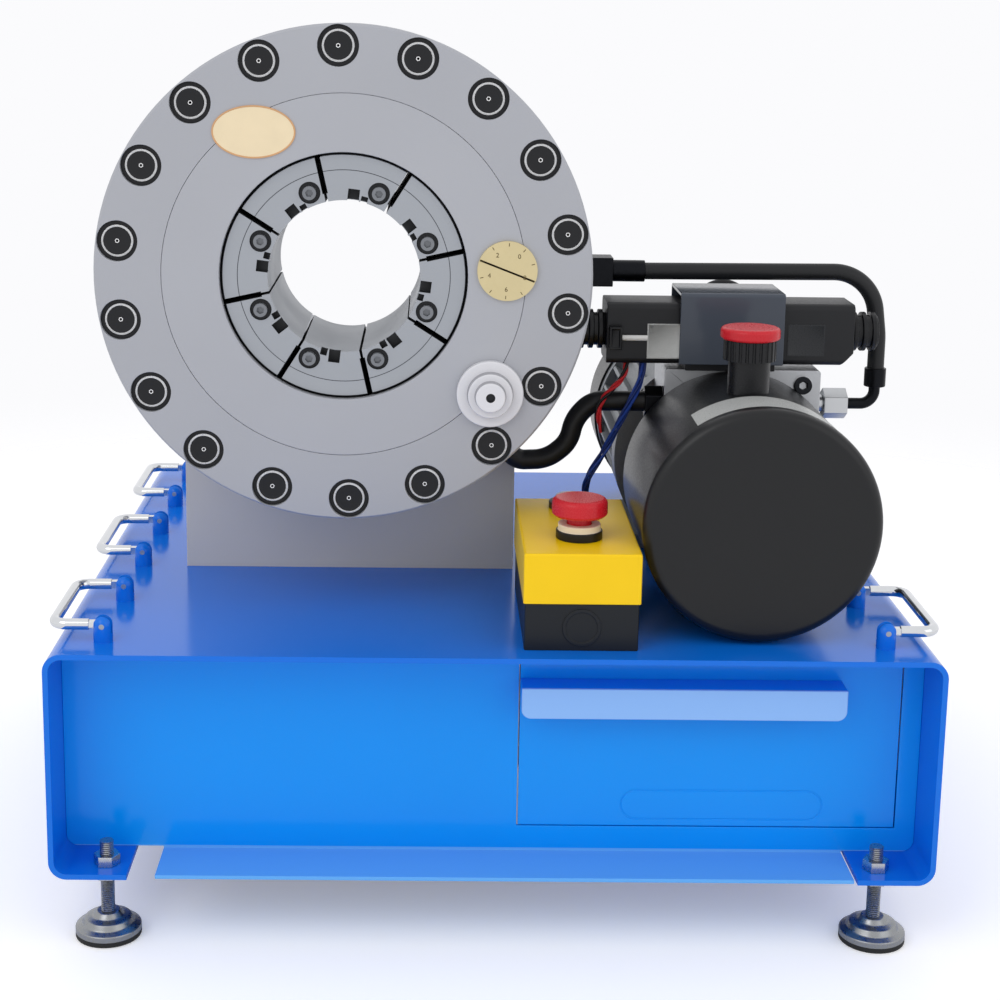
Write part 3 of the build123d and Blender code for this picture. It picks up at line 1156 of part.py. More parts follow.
save("oil_tank", oil_tank())
save("filler_neck", filler_neck())
save("filler_cap", filler_cap())
save("pump_block", pump_block())
save("motor_housing", motor_housing())
save("motor_shaft", motor_shaft())
save("cooling_fan", cooling_fan())
save("fan_cover", fan_cover())
save("lifting_eye", lifting_eye())

save("valve_body", valve_body())
save("left_solenoid", coil(VALVE_LEFT, VALVE_BODY_LEFT, 0))
save("right_solenoid", coil(VALVE_BODY_RIGHT, VALVE_RIGHT, 1))
save("solenoid_nuts", coil_nut(VALVE_LEFT, -1), coil_nut(VALVE_RIGHT, 1))
save("wiring_cover", wiring_cover())

save("hose_fittings", *hose_fittings())
save("pressure_hose", pressure_hose())
save("return_hose", return_hose())
save("station_loom", cord("station_loom", LOOM_POINTS, LOOM_RADIUS))
save("red_leads", cord("red_leads", LEADS_POINTS, LEADS_RADIUS))
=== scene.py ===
"""Hose crimping machine: its visible pieces, finishes and stage, laid out as an add-on."""
import json
import math

import bpy
from bpy.props import FloatProperty, FloatVectorProperty, IntProperty, PointerProperty
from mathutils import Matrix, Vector


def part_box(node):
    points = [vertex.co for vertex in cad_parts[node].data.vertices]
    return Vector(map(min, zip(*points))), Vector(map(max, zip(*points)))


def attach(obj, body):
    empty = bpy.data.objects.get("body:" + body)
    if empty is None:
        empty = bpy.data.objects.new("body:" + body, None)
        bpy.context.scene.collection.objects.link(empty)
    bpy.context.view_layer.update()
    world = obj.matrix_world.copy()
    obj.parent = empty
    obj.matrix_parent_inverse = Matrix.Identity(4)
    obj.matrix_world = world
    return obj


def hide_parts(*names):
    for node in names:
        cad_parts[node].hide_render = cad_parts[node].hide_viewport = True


bl_info = {
    "name": "Hose crimping machine",
    "version": (1, 0, 0),
    "blender": (4, 5, 0),
    "location": "View3D > Sidebar > Crimper",
    "description": "Dresses the packed model of a hose crimping machine with its finishes and small pieces",
    "category": "Object",
}

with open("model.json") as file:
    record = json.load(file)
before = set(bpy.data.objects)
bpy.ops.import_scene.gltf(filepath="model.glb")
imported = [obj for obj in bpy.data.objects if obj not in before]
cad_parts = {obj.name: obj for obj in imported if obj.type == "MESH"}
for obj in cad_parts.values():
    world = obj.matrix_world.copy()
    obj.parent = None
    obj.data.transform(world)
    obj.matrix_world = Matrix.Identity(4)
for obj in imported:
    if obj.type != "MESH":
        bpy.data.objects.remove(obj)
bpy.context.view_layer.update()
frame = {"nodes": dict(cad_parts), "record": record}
RECORD = frame["record"]
DIE_COUNT = 8
SIDES = ("left", "right")
ALONG_X = (0, math.pi / 2, 0)
ALONG_Y = (math.pi / 2, 0, 0)
PLACES = ("front", "middle", "rear")


def linear(code):
    """Linear colour of an sRGB hex code."""
    channels = []
    for i in (0, 2, 4):
        value = int(code[i:i + 2], 16) / 255
        channels.append(value / 12.92 if value <= 0.04045 else ((value + 0.055) / 1.055) ** 2.4)
    return (*channels, 1.0)


def colour_property(label, code, text):
    """A colour that the user can change."""
    return FloatVectorProperty(name=label, description=text, subtype="COLOR", size=3, min=0, max=1,
                               default=linear(code)[:3])


def length_property(label, metres, text):
    """A length that the user can change."""
    return FloatProperty(name=label, description=text, default=metres, unit="LENGTH", min=0)


class CrimperColours(bpy.types.PropertyGroup):
    """Colours of the machine's finishes."""
    enamel: colour_property("Base enamel", "0A6FDD", "Blue of the folded sheet of the base")
    # A lighter copy of the base enamel: painted light on the front faces.
    panel: colour_property("Panel enamel", "0594F3", "Blue of the front panel and the drawer")
    head: colour_property("Head grey", "A9ABB1", "Grey of the head, barrel and pedestal")
    dies: colour_property("Die steel", "A4A8AE", "Ground steel of the dies and the piston")
    tank: colour_property("Tank black", "131416", "Powder coat of the oil tank")
    lid: colour_property("Lid yellow", "F8CC04", "Yellow upper half of the control station")
    station: colour_property("Station black", "14181D", "Black lower half of the control station")
    stop: colour_property("Stop red", "C4202B", "Red of the stop button and the filler cap")
    brass: colour_property("Brass", "D6C79C", "Dial plate on the head")
    plate: colour_property("Plate cream", "EAD8B4", "Field of the oval plate")
    plate_rim: colour_property("Plate rim", "CFA073", "Rim of the oval plate")
    knob: colour_property("Knob white", "DADADE", "Stepped knob and the second push button")


class CrimperSizes(bpy.types.PropertyGroup):
    """Sizes of the small pieces that are not in the frame."""
    screw_chamfer: length_property("Screw chamfer", 0.0012, "Bright chamfer round each cover screw")
    plate_width: length_property("Plate width", 0.0605, "Oval plate, across")
    plate_height: length_property("Plate height", 0.038, "Oval plate, up")
    plate_rim: length_property("Plate rim", 0.0009, "Raised rim of the oval plate")
    label_thickness: length_property("Label thickness", 0.0004, "Labels and bare plates")
    edge: length_property("Sheet edge", 0.0008, "Rounding of the sheet-metal edges")
    machined_edge: length_property("Machined edge", 0.0006, "Broken edges of machined pieces")
    wire: length_property("Wire radius", 0.0012, "One insulated wire of a bundle")
    wire_count: IntProperty(name="Wires in the bundle", description="Strands of the station bundle",
                            default=4, min=2, max=6)


class CrimperStage(bpy.types.PropertyGroup):
    """Camera, lamps and floor."""
    key_power: FloatProperty(name="Key lamp", description="Power of the large lamp on the left", default=13,
                             min=0, unit="POWER")
    fill_power: FloatProperty(name="Fill lamp", description="Power of the lamp on the right", default=5,
                              min=0, unit="POWER")
    sky: FloatProperty(name="Room light", description="Strength of the even light of the room", default=0.92,
                       min=0)
    floor: colour_property("Floor", "F7F7F8", "Pale studio floor")
    floor_lift: FloatProperty(name="Floor lift", description="White added to the floor as the camera sees it",
                              default=0.24, min=0, max=1)


# ---- materials --------------------------------------------------------------------------------------------
def fill(material, node, sockets):
    """Gives a node's sockets their values or links."""
    for name, value in sockets.items():
        socket = node.inputs[name]
        if isinstance(value, bpy.types.NodeSocket):
            material.node_tree.links.new(value, socket)
        else:
            socket.default_value = value


def add(material, kind, sockets=None, **settings):
    """Adds a node with its settings, values and links."""
    node = material.node_tree.nodes.new(kind)
    for name, value in settings.items():
        setattr(node, name, value)
    fill(material, node, sockets or {})
    return node


def begin(name):
    """A new material with its shader, and the object coordinates for its patterns."""
    material = bpy.data.materials.new(name)
    material.use_nodes = True
    material.node_tree.nodes.clear()
    shader = add(material, "ShaderNodeBsdfPrincipled")
    add(material, "ShaderNodeOutputMaterial", {"Surface": shader.outputs[0]})
    place = add(material, "ShaderNodeTexCoord").outputs["Object"]
    return material, shader, place


def shade(colour, factor):
    """A lighter or darker copy of a colour."""
    return tuple(min(1.0, c * factor) for c in colour[:3]) + (1.0,)


def per_mm(size):
    """Scale of a noise or cell pattern whose features are this many millimetres wide."""
    return 1000.0 / size


def ring_scale(spacing):
    """Scale of ring or band waves that are this many millimetres apart."""
    return math.tau / 20 / (spacing / 1000)


def mottled(material, place, colour, spread, size):
    """The colour with soft lighter and darker clouds of a size in millimetres."""
    cloud = add(material, "ShaderNodeTexNoise", {"Vector": place, "Scale": per_mm(size), "Detail": 3.0})
    mix = add(material, "ShaderNodeMix", {"Factor": cloud.outputs["Fac"], "A": shade(colour, 1 - spread),
                                          "B": shade(colour, 1 + spread)}, data_type="RGBA")
    return mix.outputs["Result"]


def grainy(material, shader, place, size, height, detail=2.0):
    """Fine unevenness of the surface: its size and height in millimetres."""
    grain = add(material, "ShaderNodeTexNoise", {"Vector": place, "Scale": per_mm(size), "Detail": detail})
    bump = add(material, "ShaderNodeBump", {"Height": grain.outputs["Fac"], "Strength": 1.0,
                                            "Distance": height / 1000})
    fill(material, shader, {"Normal": bump.outputs["Normal"]})
    return grain.outputs["Fac"]


def varied(material, fac, low, high):
    """A value that swings between low and high with a pattern."""
    return add(material, "ShaderNodeMapRange", {"Value": fac, "From Min": 0.3, "From Max": 0.7, "To Min": low,
                                                "To Max": high}).outputs["Result"]


def stove_enamel(name, colour):
    """Stove enamel on folded steel, sprayed and baked: deep gloss with a faint orange-peel ripple."""
    material, shader, place = begin(name)
    grain = grainy(material, shader, place, 2.4, 0.006)
    fill(material, shader, {"Base Color": mottled(material, place, colour, 0.05, 160),
                            "Specular IOR Level": 0.25, "Coat Weight": 0.06, "Coat Roughness": 0.06,
                            "Roughness": varied(material, grain, 0.14, 0.2)})
    return material


def turned_steel(name, colour, centre, metallic, roughness, spacing=2.6):
    """Steel faced on a lathe and left bare: faint rings round the axis, slightly uneven sheen."""
    material, shader, place = begin(name)
    moved = add(material, "ShaderNodeMapping", {"Vector": place, "Location": [-c for c in centre]})
    rings = add(material, "ShaderNodeTexWave", {"Vector": moved.outputs[0], "Scale": ring_scale(spacing),
                                                "Distortion": 1.2, "Detail": 2.0, "Detail Scale": 0.6},
                wave_type="RINGS", rings_direction="Y")
    bump = add(material, "ShaderNodeBump", {"Height": rings.outputs["Fac"], "Strength": 0.25,
                                            "Distance": 0.00002})
    cloud = add(material, "ShaderNodeTexNoise", {"Vector": place, "Scale": per_mm(45), "Detail": 4.0})
    sheen = varied(material, cloud.outputs["Fac"], roughness - 0.05, roughness + 0.06)
    fill(material, shader, {"Base Color": mottled(material, place, colour, 0.05, 90), "Metallic": metallic,
                            "Roughness": sheen, "Normal": bump.outputs["Normal"]})
    return material


def bare_metal(name, colour, roughness, grain_mm=1.5, height=0.01):
    """Plated or drawn metal: mirror to satin, with a fine grain and small stains."""
    material, shader, place = begin(name)
    grain = grainy(material, shader, place, grain_mm, height)
    fill(material, shader, {"Base Color": mottled(material, place, colour, 0.05, 12), "Metallic": 1.0,
                            "Roughness": varied(material, grain, roughness * 0.8, roughness * 1.25)})
    return material


def moulded_plastic(name, colour, roughness, grain_mm=0.9, height=0.015):
    """Injection-moulded plastic with a lightly spark-eroded skin."""
    material, shader, place = begin(name)
    grain = grainy(material, shader, place, grain_mm, height)
    fill(material, shader, {"Base Color": mottled(material, place, colour, 0.04, 30),
                            "Specular IOR Level": 0.3,
                            "Roughness": varied(material, grain, roughness - 0.05, roughness + 0.07)})
    return material


def masked(material, shader, mask, colour, **sockets):
    """Where the mask is 1, the shader's colour gives way to another and its other values change too."""
    was = shader.inputs["Base Color"].links[0].from_socket
    mix = add(material, "ShaderNodeMix", {"Factor": mask, "A": was, "B": colour}, data_type="RGBA")
    fill(material, shader, {"Base Color": mix.outputs["Result"]})
    for name, value in sockets.items():
        socket = shader.inputs[name.replace("_", " ")]
        before = socket.links[0].from_socket if socket.is_linked else socket.default_value
        blend = add(material, "ShaderNodeMix", {"Factor": mask, "A": before, "B": value}, data_type="FLOAT")
        fill(material, shader, {name.replace("_", " "): blend.outputs["Result"]})


def overlap(material, *masks):
    """1 where all the masks are 1."""
    whole = masks[0]
    for mask in masks[1:]:
        whole = add(material, "ShaderNodeMath", {0: whole, 1: mask}, operation="MULTIPLY").outputs[0]
    return whole


def between(material, value, low=None, high=None):
    """1 where the value is above the low limit and below the high one; either may be left out."""
    sides = (("GREATER_THAN", low), ("LESS_THAN", high))
    tests = [add(material, "ShaderNodeMath", {0: value, 1: limit}, operation=side)
             for side, limit in sides if limit is not None]
    return overlap(material, *(test.outputs[0] for test in tests))


def radius_about(material, place, centre):
    """Distance from the axis that runs through the centre from front to back."""
    flat = add(material, "ShaderNodeVectorMath", {0: place, 1: (1, 0, 1)}, operation="MULTIPLY")
    apart = add(material, "ShaderNodeVectorMath", {0: flat.outputs[0], 1: (centre.x, 0, centre.z)},
                operation="DISTANCE")
    return apart.outputs["Value"]


def axis_of(material, place, axis):
    """One coordinate of the pattern's place."""
    return add(material, "ShaderNodeSeparateXYZ", {"Vector": place}).outputs[axis]


def shader_of(material):
    """The material's main shader and its object coordinates."""
    nodes = material.node_tree.nodes
    shader = next(n for n in nodes if n.type == "BSDF_PRINCIPLED")
    place = next(n for n in nodes if n.type == "TEX_COORD").outputs["Object"]
    return shader, place


def paint(piece, *materials):
    """Puts the materials on a piece, the first one all over it."""
    piece.data.materials.clear()
    for material in materials:
        piece.data.materials.append(material)


def repaint(node, material):
    """Gives a frame node a better material."""
    for slot in frame["nodes"][node].material_slots:
        slot.material = material
    if not frame["nodes"][node].material_slots:
        frame["nodes"][node].data.materials.append(material)


# ---- modelling --------------------------------------------------------------------------------------------
def select_only(*pieces):
    """Selects these objects and nothing else."""
    if bpy.context.mode != "OBJECT":
        bpy.ops.object.mode_set(mode="OBJECT")
    bpy.ops.object.select_all(action="DESELECT")
    for piece in pieces:
        piece.select_set(True)
    bpy.context.view_layer.objects.active = pieces[0]


def named(name):
    """Names the active object and hands it back."""
    piece = bpy.context.object
    piece.name = name
    piece.data.name = name
    return piece


def blank(name, kind="cylinder", **shape):
    """A new primitive with its place applied, ready to be shaped."""
    bpy.ops.object.select_all(action="DESELECT")
    getattr(bpy.ops.mesh, f"primitive_{kind}_add")(**shape)
    piece = named(name)
    bpy.ops.object.transform_apply(location=True, rotation=True, scale=True)
    return piece


def edit_faces(piece, test):
    """Enters edit mode with the faces selected whose centre and normal pass the test."""
    select_only(piece)
    mesh = piece.data
    for group in (mesh.vertices, mesh.edges, mesh.polygons):
        group.foreach_set("select", [False] * len(group))
    chosen = [test(Vector(face.center), Vector(face.normal)) for face in mesh.polygons]
    mesh.polygons.foreach_set("select", chosen)
    bpy.ops.object.mode_set(mode="EDIT")
    bpy.ops.mesh.select_mode(type="FACE")


def looks_forward(centre, normal):
    """True for a face that looks to the front."""
    return normal.y < -0.9


def sink_front(piece, *steps):
    """Insets the faces that look forward, step by step: the margin, then the depth."""
    edit_faces(piece, looks_forward)
    for margin, depth in steps:
        bpy.ops.mesh.inset(thickness=margin, depth=depth)
    bpy.ops.object.mode_set(mode="OBJECT")


def colour_faces(piece, index, test):
    """Gives the faces that pass the test the piece's material of that index."""
    for face in piece.data.polygons:
        if test(Vector(face.center), Vector(face.normal)):
            face.material_index = index


def settle(piece, body, angle=35):
    """Applies the piece's place, smooths it and makes it ride on its body."""
    select_only(piece)
    bpy.ops.object.transform_apply(location=True, rotation=True, scale=True)
    bpy.ops.object.shade_smooth_by_angle(angle=math.radians(angle))
    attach(piece, body)
    return piece


def round_edges(piece, width, segments=2, angle=30):
    """Rounds the sharp edges with an applied bevel."""
    select_only(piece)
    bevel = piece.modifiers.new("rounding", "BEVEL")
    bevel.width = width
    bevel.segments = segments
    bevel.limit_method = "ANGLE"
    bevel.angle_limit = math.radians(angle)
    bpy.ops.object.modifier_apply(modifier="rounding")


def body_of(node):
    """The body that carries a node."""
    return next(name for name, nodes in RECORD["behaviour"]["bodies"].items() if node in nodes)


def dressed(node, material, width, segments=2, angle=32):
    """A copy of a frame node with clean faces and rounded edges, standing for it."""
    piece = frame["nodes"][node].copy()
    piece.data = piece.data.copy()
    bpy.context.scene.collection.objects.link(piece)
    piece.parent = None
    piece.name = node + "_dressed"
    select_only(piece)
    bpy.ops.object.mode_set(mode="EDIT")
    bpy.ops.mesh.select_all(action="SELECT")
    bpy.ops.mesh.remove_doubles(threshold=0.000005)
    bpy.ops.mesh.dissolve_limited(angle_limit=math.radians(0.6))
    bpy.ops.object.mode_set(mode="OBJECT")
    round_edges(piece, width, segments, angle)
    paint(piece, material)
    settle(piece, body_of(node))
    # Large flat faces stay flat next to the rounded edges.
    weighted = piece.modifiers.new("flat_faces", "WEIGHTED_NORMAL")
    weighted.keep_sharp = True
    bpy.ops.object.modifier_apply(modifier="flat_faces")
    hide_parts(node)
    return piece


def centre_of(node):
    """Middle of a node's box."""
    low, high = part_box(node)
    return (Vector(low) + Vector(high)) / 2


def colours():
    """The user's colours as four-part colours."""
    group = bpy.context.scene.crimper_colours
    return {name: (*getattr(group, name), 1.0) for name in CrimperColours.__annotations__}


def head_centre():
    """Middle of the head's face."""
    centre = centre_of("head_cover")
    return Vector((centre.x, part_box("head_cover")[0][1], centre.z))


class PieceOperator:
    """Shared settings of the operators."""
    bl_options = {"REGISTER", "UNDO"}


class CRIMPER_OT_base(PieceOperator, bpy.types.Operator):
    """Folded base, panels and drawer in blue enamel"""
    bl_idname = "crimper.base"
    bl_label = "Base and drawer"

    def pale(self, enamel, limit, axis, code):
        """Painted highlight: paler enamel on the side of the limit where the coordinate is smaller."""
        shader, place = shader_of(enamel)
        masked(enamel, shader, between(enamel, axis_of(enamel, place, axis), high=limit), linear(code))

    def execute(self, context):
        sizes = context.scene.crimper_sizes
        enamel = stove_enamel("stove_enamel_blue", colours()["enamel"])
        for node in ("base_frame", "rear_panel"):
            dressed(node, enamel, sizes.edge)
        # Painted light: the front panel and the drawer get a lighter blue than the base, a lit copy of the
        # same enamel.
        panel = stove_enamel("stove_enamel_panel", colours()["panel"])
        # Painted highlight: the lip along the bottom and the face of the pull are painted paler than the
        # panel, where light and reflections make them look brighter.
        self.pale(panel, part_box("front_panel")[0][2] + 0.005, "Z", "63AEF4")
        for node in ("front_panel", "drawer_front"):
            dressed(node, panel, sizes.edge)
        grip = stove_enamel("stove_enamel_grip", colours()["panel"])
        # Painted highlight on the face of the pull.
        self.pale(grip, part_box("drawer_pull")[0][1] + 0.002, "Y", "8FBDF6")
        dressed("drawer_pull", grip, sizes.edge)
        for node in ("drawer_tray", "handle_posts"):
            repaint(node, enamel)
        # Zinc plating is a soft grey mirror with a fine spangle.
        zinc = bare_metal("zinc_plated_steel", linear("B4B6B8"), 0.34)
        for node in ("drawer_runners", "rail_channels", "handle_pins"):
            repaint(node, zinc)
        return {"FINISHED"}


class CRIMPER_OT_feet(PieceOperator, bpy.types.Operator):
    """Levelling feet: pressed bells with a rubber rim, threaded studs and nuts"""
    bl_idname = "crimper.feet"
    bl_label = "Levelling feet"

    def execute(self, context):
        bell = bare_metal("pressed_zinc_steel", linear("96989A"), 0.3, 3.0, 0.02)
        shader, place = shader_of(bell)
        # The lowest 4 mm is the moulded rubber sole.
        sole = between(bell, axis_of(bell, place, "Z"), high=0.004)
        masked(bell, shader, sole, linear("18191A"), Metallic=0.0, Roughness=0.75)
        dressed("foot_pads", bell, 0.0008)
        thread = bare_metal("rolled_thread_steel", linear("A9ABAD"), 0.3)
        shader, place = shader_of(thread)
        # M10 thread, 1.5 mm pitch.
        pitch = add(thread, "ShaderNodeTexWave", {"Vector": place, "Scale": ring_scale(1.5)},
                    wave_type="BANDS", bands_direction="Z", wave_profile="TRI")
        bump = add(thread, "ShaderNodeBump", {"Height": pitch.outputs["Fac"], "Distance": 0.0009})
        fill(thread, shader, {"Normal": bump.outputs["Normal"]})
        repaint("foot_studs", thread)
        dressed("foot_nuts", bare_metal("zinc_nut_steel", linear("C2C4C6"), 0.24), 0.0007)
        return {"FINISHED"}


class CRIMPER_OT_handles(PieceOperator, bpy.types.Operator):
    """Six folding handles in bright chrome"""
    bl_idname = "crimper.handles"
    bl_label = "Folding handles"

    def execute(self, context):
        chrome = bare_metal("chrome_plated_rod", linear("DADCDE"), 0.08, 6.0, 0.004)
        for side in SIDES:
            for place in PLACES:
                dressed(f"{side}_handle_{place}", chrome, 0.0005)
        return {"FINISHED"}


class CRIMPER_OT_head(PieceOperator, bpy.types.Operator):
    """Head cover, cone ring, barrel, rear cover, pedestal, piston and dies"""
    bl_idname = "crimper.head"
    bl_label = "Crimping head"

    def mark_dies(self, steel, centre):
        """Painted shade in the pockets and splits, the joint round the adapters and the browned adapter
        screws.
        """
        shader, place = shader_of(steel)
        depth = axis_of(steel, place, "Y")
        radius = radius_about(steel, place, centre)
        length, bore, joint = 0.120, 0.056, 0.078
        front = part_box("crimp_die_1")[1][1] - length
        # Painted shade: behind the die faces, the pockets and splits are coloured near black.
        painted_shade_pocket = overlap(steel, between(steel, depth, low=front + 0.0006),
                         between(steel, radius, low=bore + 0.0004))
        masked(steel, shader, painted_shade_pocket, linear("202225"), Roughness=0.6, Metallic=0.2)
        masked(steel, shader, between(steel, radius, joint - 0.0003, joint + 0.0003), linear("4A4D52"))
        masked(steel, shader, between(steel, depth, high=front - 0.0004), linear("7D8085"))

    def execute(self, context):
        sizes = context.scene.crimper_sizes
        tint = colours()
        centre = head_centre()
        face = turned_steel("turned_cover_steel", tint["head"], centre, 0.12, 0.55)
        dressed("head_cover", face, sizes.machined_edge)
        dressed("cone_ring", turned_steel("turned_ring_steel", shade(tint["head"], 1.03), centre, 0.12, 0.52),
                sizes.machined_edge)
        for node in ("cylinder_body", "rear_cover"):
            dressed(node, face, sizes.machined_edge)
        # Painted light: the pedestal grey is lighter and warmer than the head's, to offset the shade and blue
        # light that fall on it under the head.
        lightened_pedestal = turned_steel("painted_pedestal_steel", linear("C6C4C1"), centre, 0.05, 0.55, 40)
        dressed("pedestal", lightened_pedestal, sizes.edge)
        repaint("ring_piston", turned_steel("ground_piston_steel", tint["dies"], centre, 0.7, 0.35, 2.2))
        steel = turned_steel("ground_die_steel", tint["dies"], centre, 0.6, 0.4, 2.2)
        self.mark_dies(steel, centre)
        for index in range(DIE_COUNT):
            repaint(f"crimp_die_{index + 1}", steel)
        return {"FINISHED"}


class CRIMPER_OT_cover_screws(PieceOperator, bpy.types.Operator):
    """Socket screws of the cover, with a bright chamfer, a blackened dished top, painted shade in the
    counterbores and a painted glint in each socket
    """
    bl_idname = "crimper.cover_screws"
    bl_label = "Cover screws"

    def execute(self, context):
        sizes = context.scene.crimper_sizes
        low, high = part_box("cover_screws")
        radius, counterbore, height, count = 0.0117, 0.0148, 0.016, 18
        head_reach = 0.012
        turn = math.radians(1.4)
        centre = head_centre()
        face_y = low[1]
        # Blackened steel is dull and nearly black; only the turned chamfer and the painted glint round each
        # socket are bright.
        black = moulded_plastic("blackened_screw_steel", linear("17181B"), 0.45)
        bright = bare_metal("turned_chamfer_steel_and_painted_glint", linear("F2F2F2"), 0.3)
        fill(bright, shader_of(bright)[0], {"Metallic": 0.25})
        top = centre.z + (high[2] - low[2]) / 2 - head_reach
        screw = blank("cover_screw_heads", vertices=48, radius=radius, depth=height, rotation=ALONG_Y,
                      location=(centre.x, face_y + height / 2, top))
        edit_faces(screw, looks_forward)
        bpy.ops.mesh.region_to_loop()
        bpy.ops.mesh.bevel(offset=sizes.screw_chamfer, segments=1, affect="EDGES")
        bpy.ops.object.mode_set(mode="OBJECT")
        sink_front(screw, (0.0003, -0.0006), (0.0040, -0.0002))
        # Painted shade: a black disc in each counterbore stands for the shade in the gap round the head.
        shade_disc = blank("cover_screw_shade_discs", vertices=48, radius=counterbore, depth=0.003, rotation=ALONG_Y,
                       location=(centre.x, face_y + 0.0035, top))
        # A dark hex socket whose rim takes the bright material: a painted glint.
        socket_and_glint = blank("cover_screw_sockets_and_glints", vertices=6, radius=0.0017, depth=0.0012, rotation=ALONG_Y,
                    location=(centre.x, face_y + 0.0009, top))
        sink_front(socket_and_glint, (0.0005, 0), (0.0001, -0.0005))
        for piece in (screw, shade_disc, socket_and_glint):
            paint(piece, black, bright)

        def reach(c):
            return math.hypot(c.x - centre.x, c.z - top)

        colour_faces(screw, 1, lambda c, n: -0.95 < n.y < -0.3 and reach(c) > radius - 0.0014)
        # Painted glint on the rim of each socket.
        colour_faces(socket_and_glint, 1, lambda c, n: looks_forward(c, n) and reach(c) > 0.0010)
        select_only(screw, shade_disc, socket_and_glint)
        bpy.ops.object.join()
        heads = []
        for index in range(count):
            select_only(screw)
            bpy.ops.object.duplicate()
            head = bpy.context.object
            angle = turn + index * math.tau / count
            bpy.ops.transform.rotate(value=angle, orient_axis="Y", center_override=centre)
            bpy.ops.object.transform_apply(location=True, rotation=True, scale=True)
            heads.append(head)
        bpy.data.objects.remove(screw, do_unlink=True)
        select_only(*heads)
        bpy.ops.object.join()
        whole = named("cover_screws_dressed")
        settle(whole, "machine")
        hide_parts("cover_screws")
        return {"FINISHED"}


class CRIMPER_OT_face(PieceOperator, bpy.types.Operator):
    """Brass dial with plain marks, stepped knob and the bare oval plate on the head"""
    bl_idname = "crimper.face"
    bl_label = "Dial, knob and plate"

    def dial_marks(self, metal):
        """Plain numbers and ticks engraved round the dial."""
        low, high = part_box("dial_plate")
        centre = centre_of("dial_plate")
        reach = (high[0] - low[0]) / 2
        first, count = 51, 10
        marks = []
        for index in range(count):
            angle = math.radians(first) + index * math.tau / count
            for kind in ("number", "tick"):
                if kind == "number" and index % 2:
                    continue
                out = reach * (0.62 if kind == "number" else 0.88)
                spot = (centre.x + out * math.cos(angle), low[1] - 0.0001, centre.z + out * math.sin(angle))
                bpy.ops.object.select_all(action="DESELECT")
                if kind == "number":
                    bpy.ops.object.text_add(location=spot, rotation=ALONG_Y)
                    text = bpy.context.object.data
                    text.body = str(index)
                    text.size = 0.0048
                    text.extrude = 0.0001
                    text.align_x = text.align_y = "CENTER"
                    bpy.ops.object.convert(target="MESH")
                else:
                    bpy.ops.mesh.primitive_cube_add(size=1, location=spot, rotation=(0, -angle, 0),
                                                    scale=(0.0024, 0.0002, 0.0005))
                bpy.ops.object.transform_apply(location=True, rotation=True, scale=True)
                marks.append(bpy.context.object)
        select_only(*marks)
        bpy.ops.object.join()
        piece = named("dial_marks")
        paint(piece, metal)
        settle(piece, "machine")

    def oval_plate(self, tint, sizes):
        """Bare oval plate with a raised rim, pinned to the face."""
        plate = blank("oval_plate", vertices=96, radius=0.5, depth=1, rotation=ALONG_Y,
                      location=head_centre() + Vector((-0.0648, 0, 0.1048)),
                      scale=(sizes.plate_width, sizes.plate_height, 0.0016))
        sink_front(plate, (sizes.plate_rim, 0), (0.0003, -0.0003))
        # Printed aluminium: a satin sheet whose ink lets little of the metal show.
        rim = bare_metal("printed_plate_rim", tint["plate_rim"], 0.45)
        fill(rim, shader_of(rim)[0], {"Metallic": 0.3})
        field = bare_metal("printed_plate_field", tint["plate"], 0.4)
        fill(field, shader_of(field)[0], {"Metallic": 0.15})
        paint(plate, rim, field)
        front = min(v.co.y for v in plate.data.vertices)
        colour_faces(plate, 1, lambda c, n: looks_forward(c, n) and c.y > front + 0.0001)
        settle(plate, "machine")

    def execute(self, context):
        tint = colours()
        sizes = context.scene.crimper_sizes
        brass = bare_metal("lacquered_brass", tint["brass"], 0.36, 4.0, 0.02)
        shader, place = shader_of(brass)
        inside = between(brass, radius_about(brass, place, centre_of("dial_plate")), high=0.0214)
        sunk = between(brass, axis_of(brass, place, "Y"), low=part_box("dial_plate")[0][1] + 0.0002)
        slot_shade = overlap(brass, inside, sunk)
        # Painted shade: the sunken index slot is coloured near black.
        masked(brass, shader, slot_shade, linear("2A251C"), Roughness=0.6)
        dressed("dial_plate", brass, 0.0004)
        self.dial_marks(bare_metal("engraved_brass", linear("5B4E33"), 0.55))
        self.oval_plate(tint, sizes)
        white = moulded_plastic("turned_white_acetal", tint["knob"], 0.3)
        shader, place = shader_of(white)
        apart = radius_about(white, place, centre_of("die_stop_knob"))
        for step in (0.0167, 0.0112):
            # Painted shade: a grey ring where each step meets the next.
            step_shade = between(white, apart, step - 0.0003, step + 0.0005)
            masked(white, shader, step_shade, linear("A9A9AE"), Roughness=0.6)
        # Painted shade: the hole in the recess of the hub is coloured dark.
        masked(white, shader, between(white, apart, high=0.0034), linear("26272B"), Roughness=0.4)
        dressed("die_stop_knob", white, 0.0003)
        return {"FINISHED"}


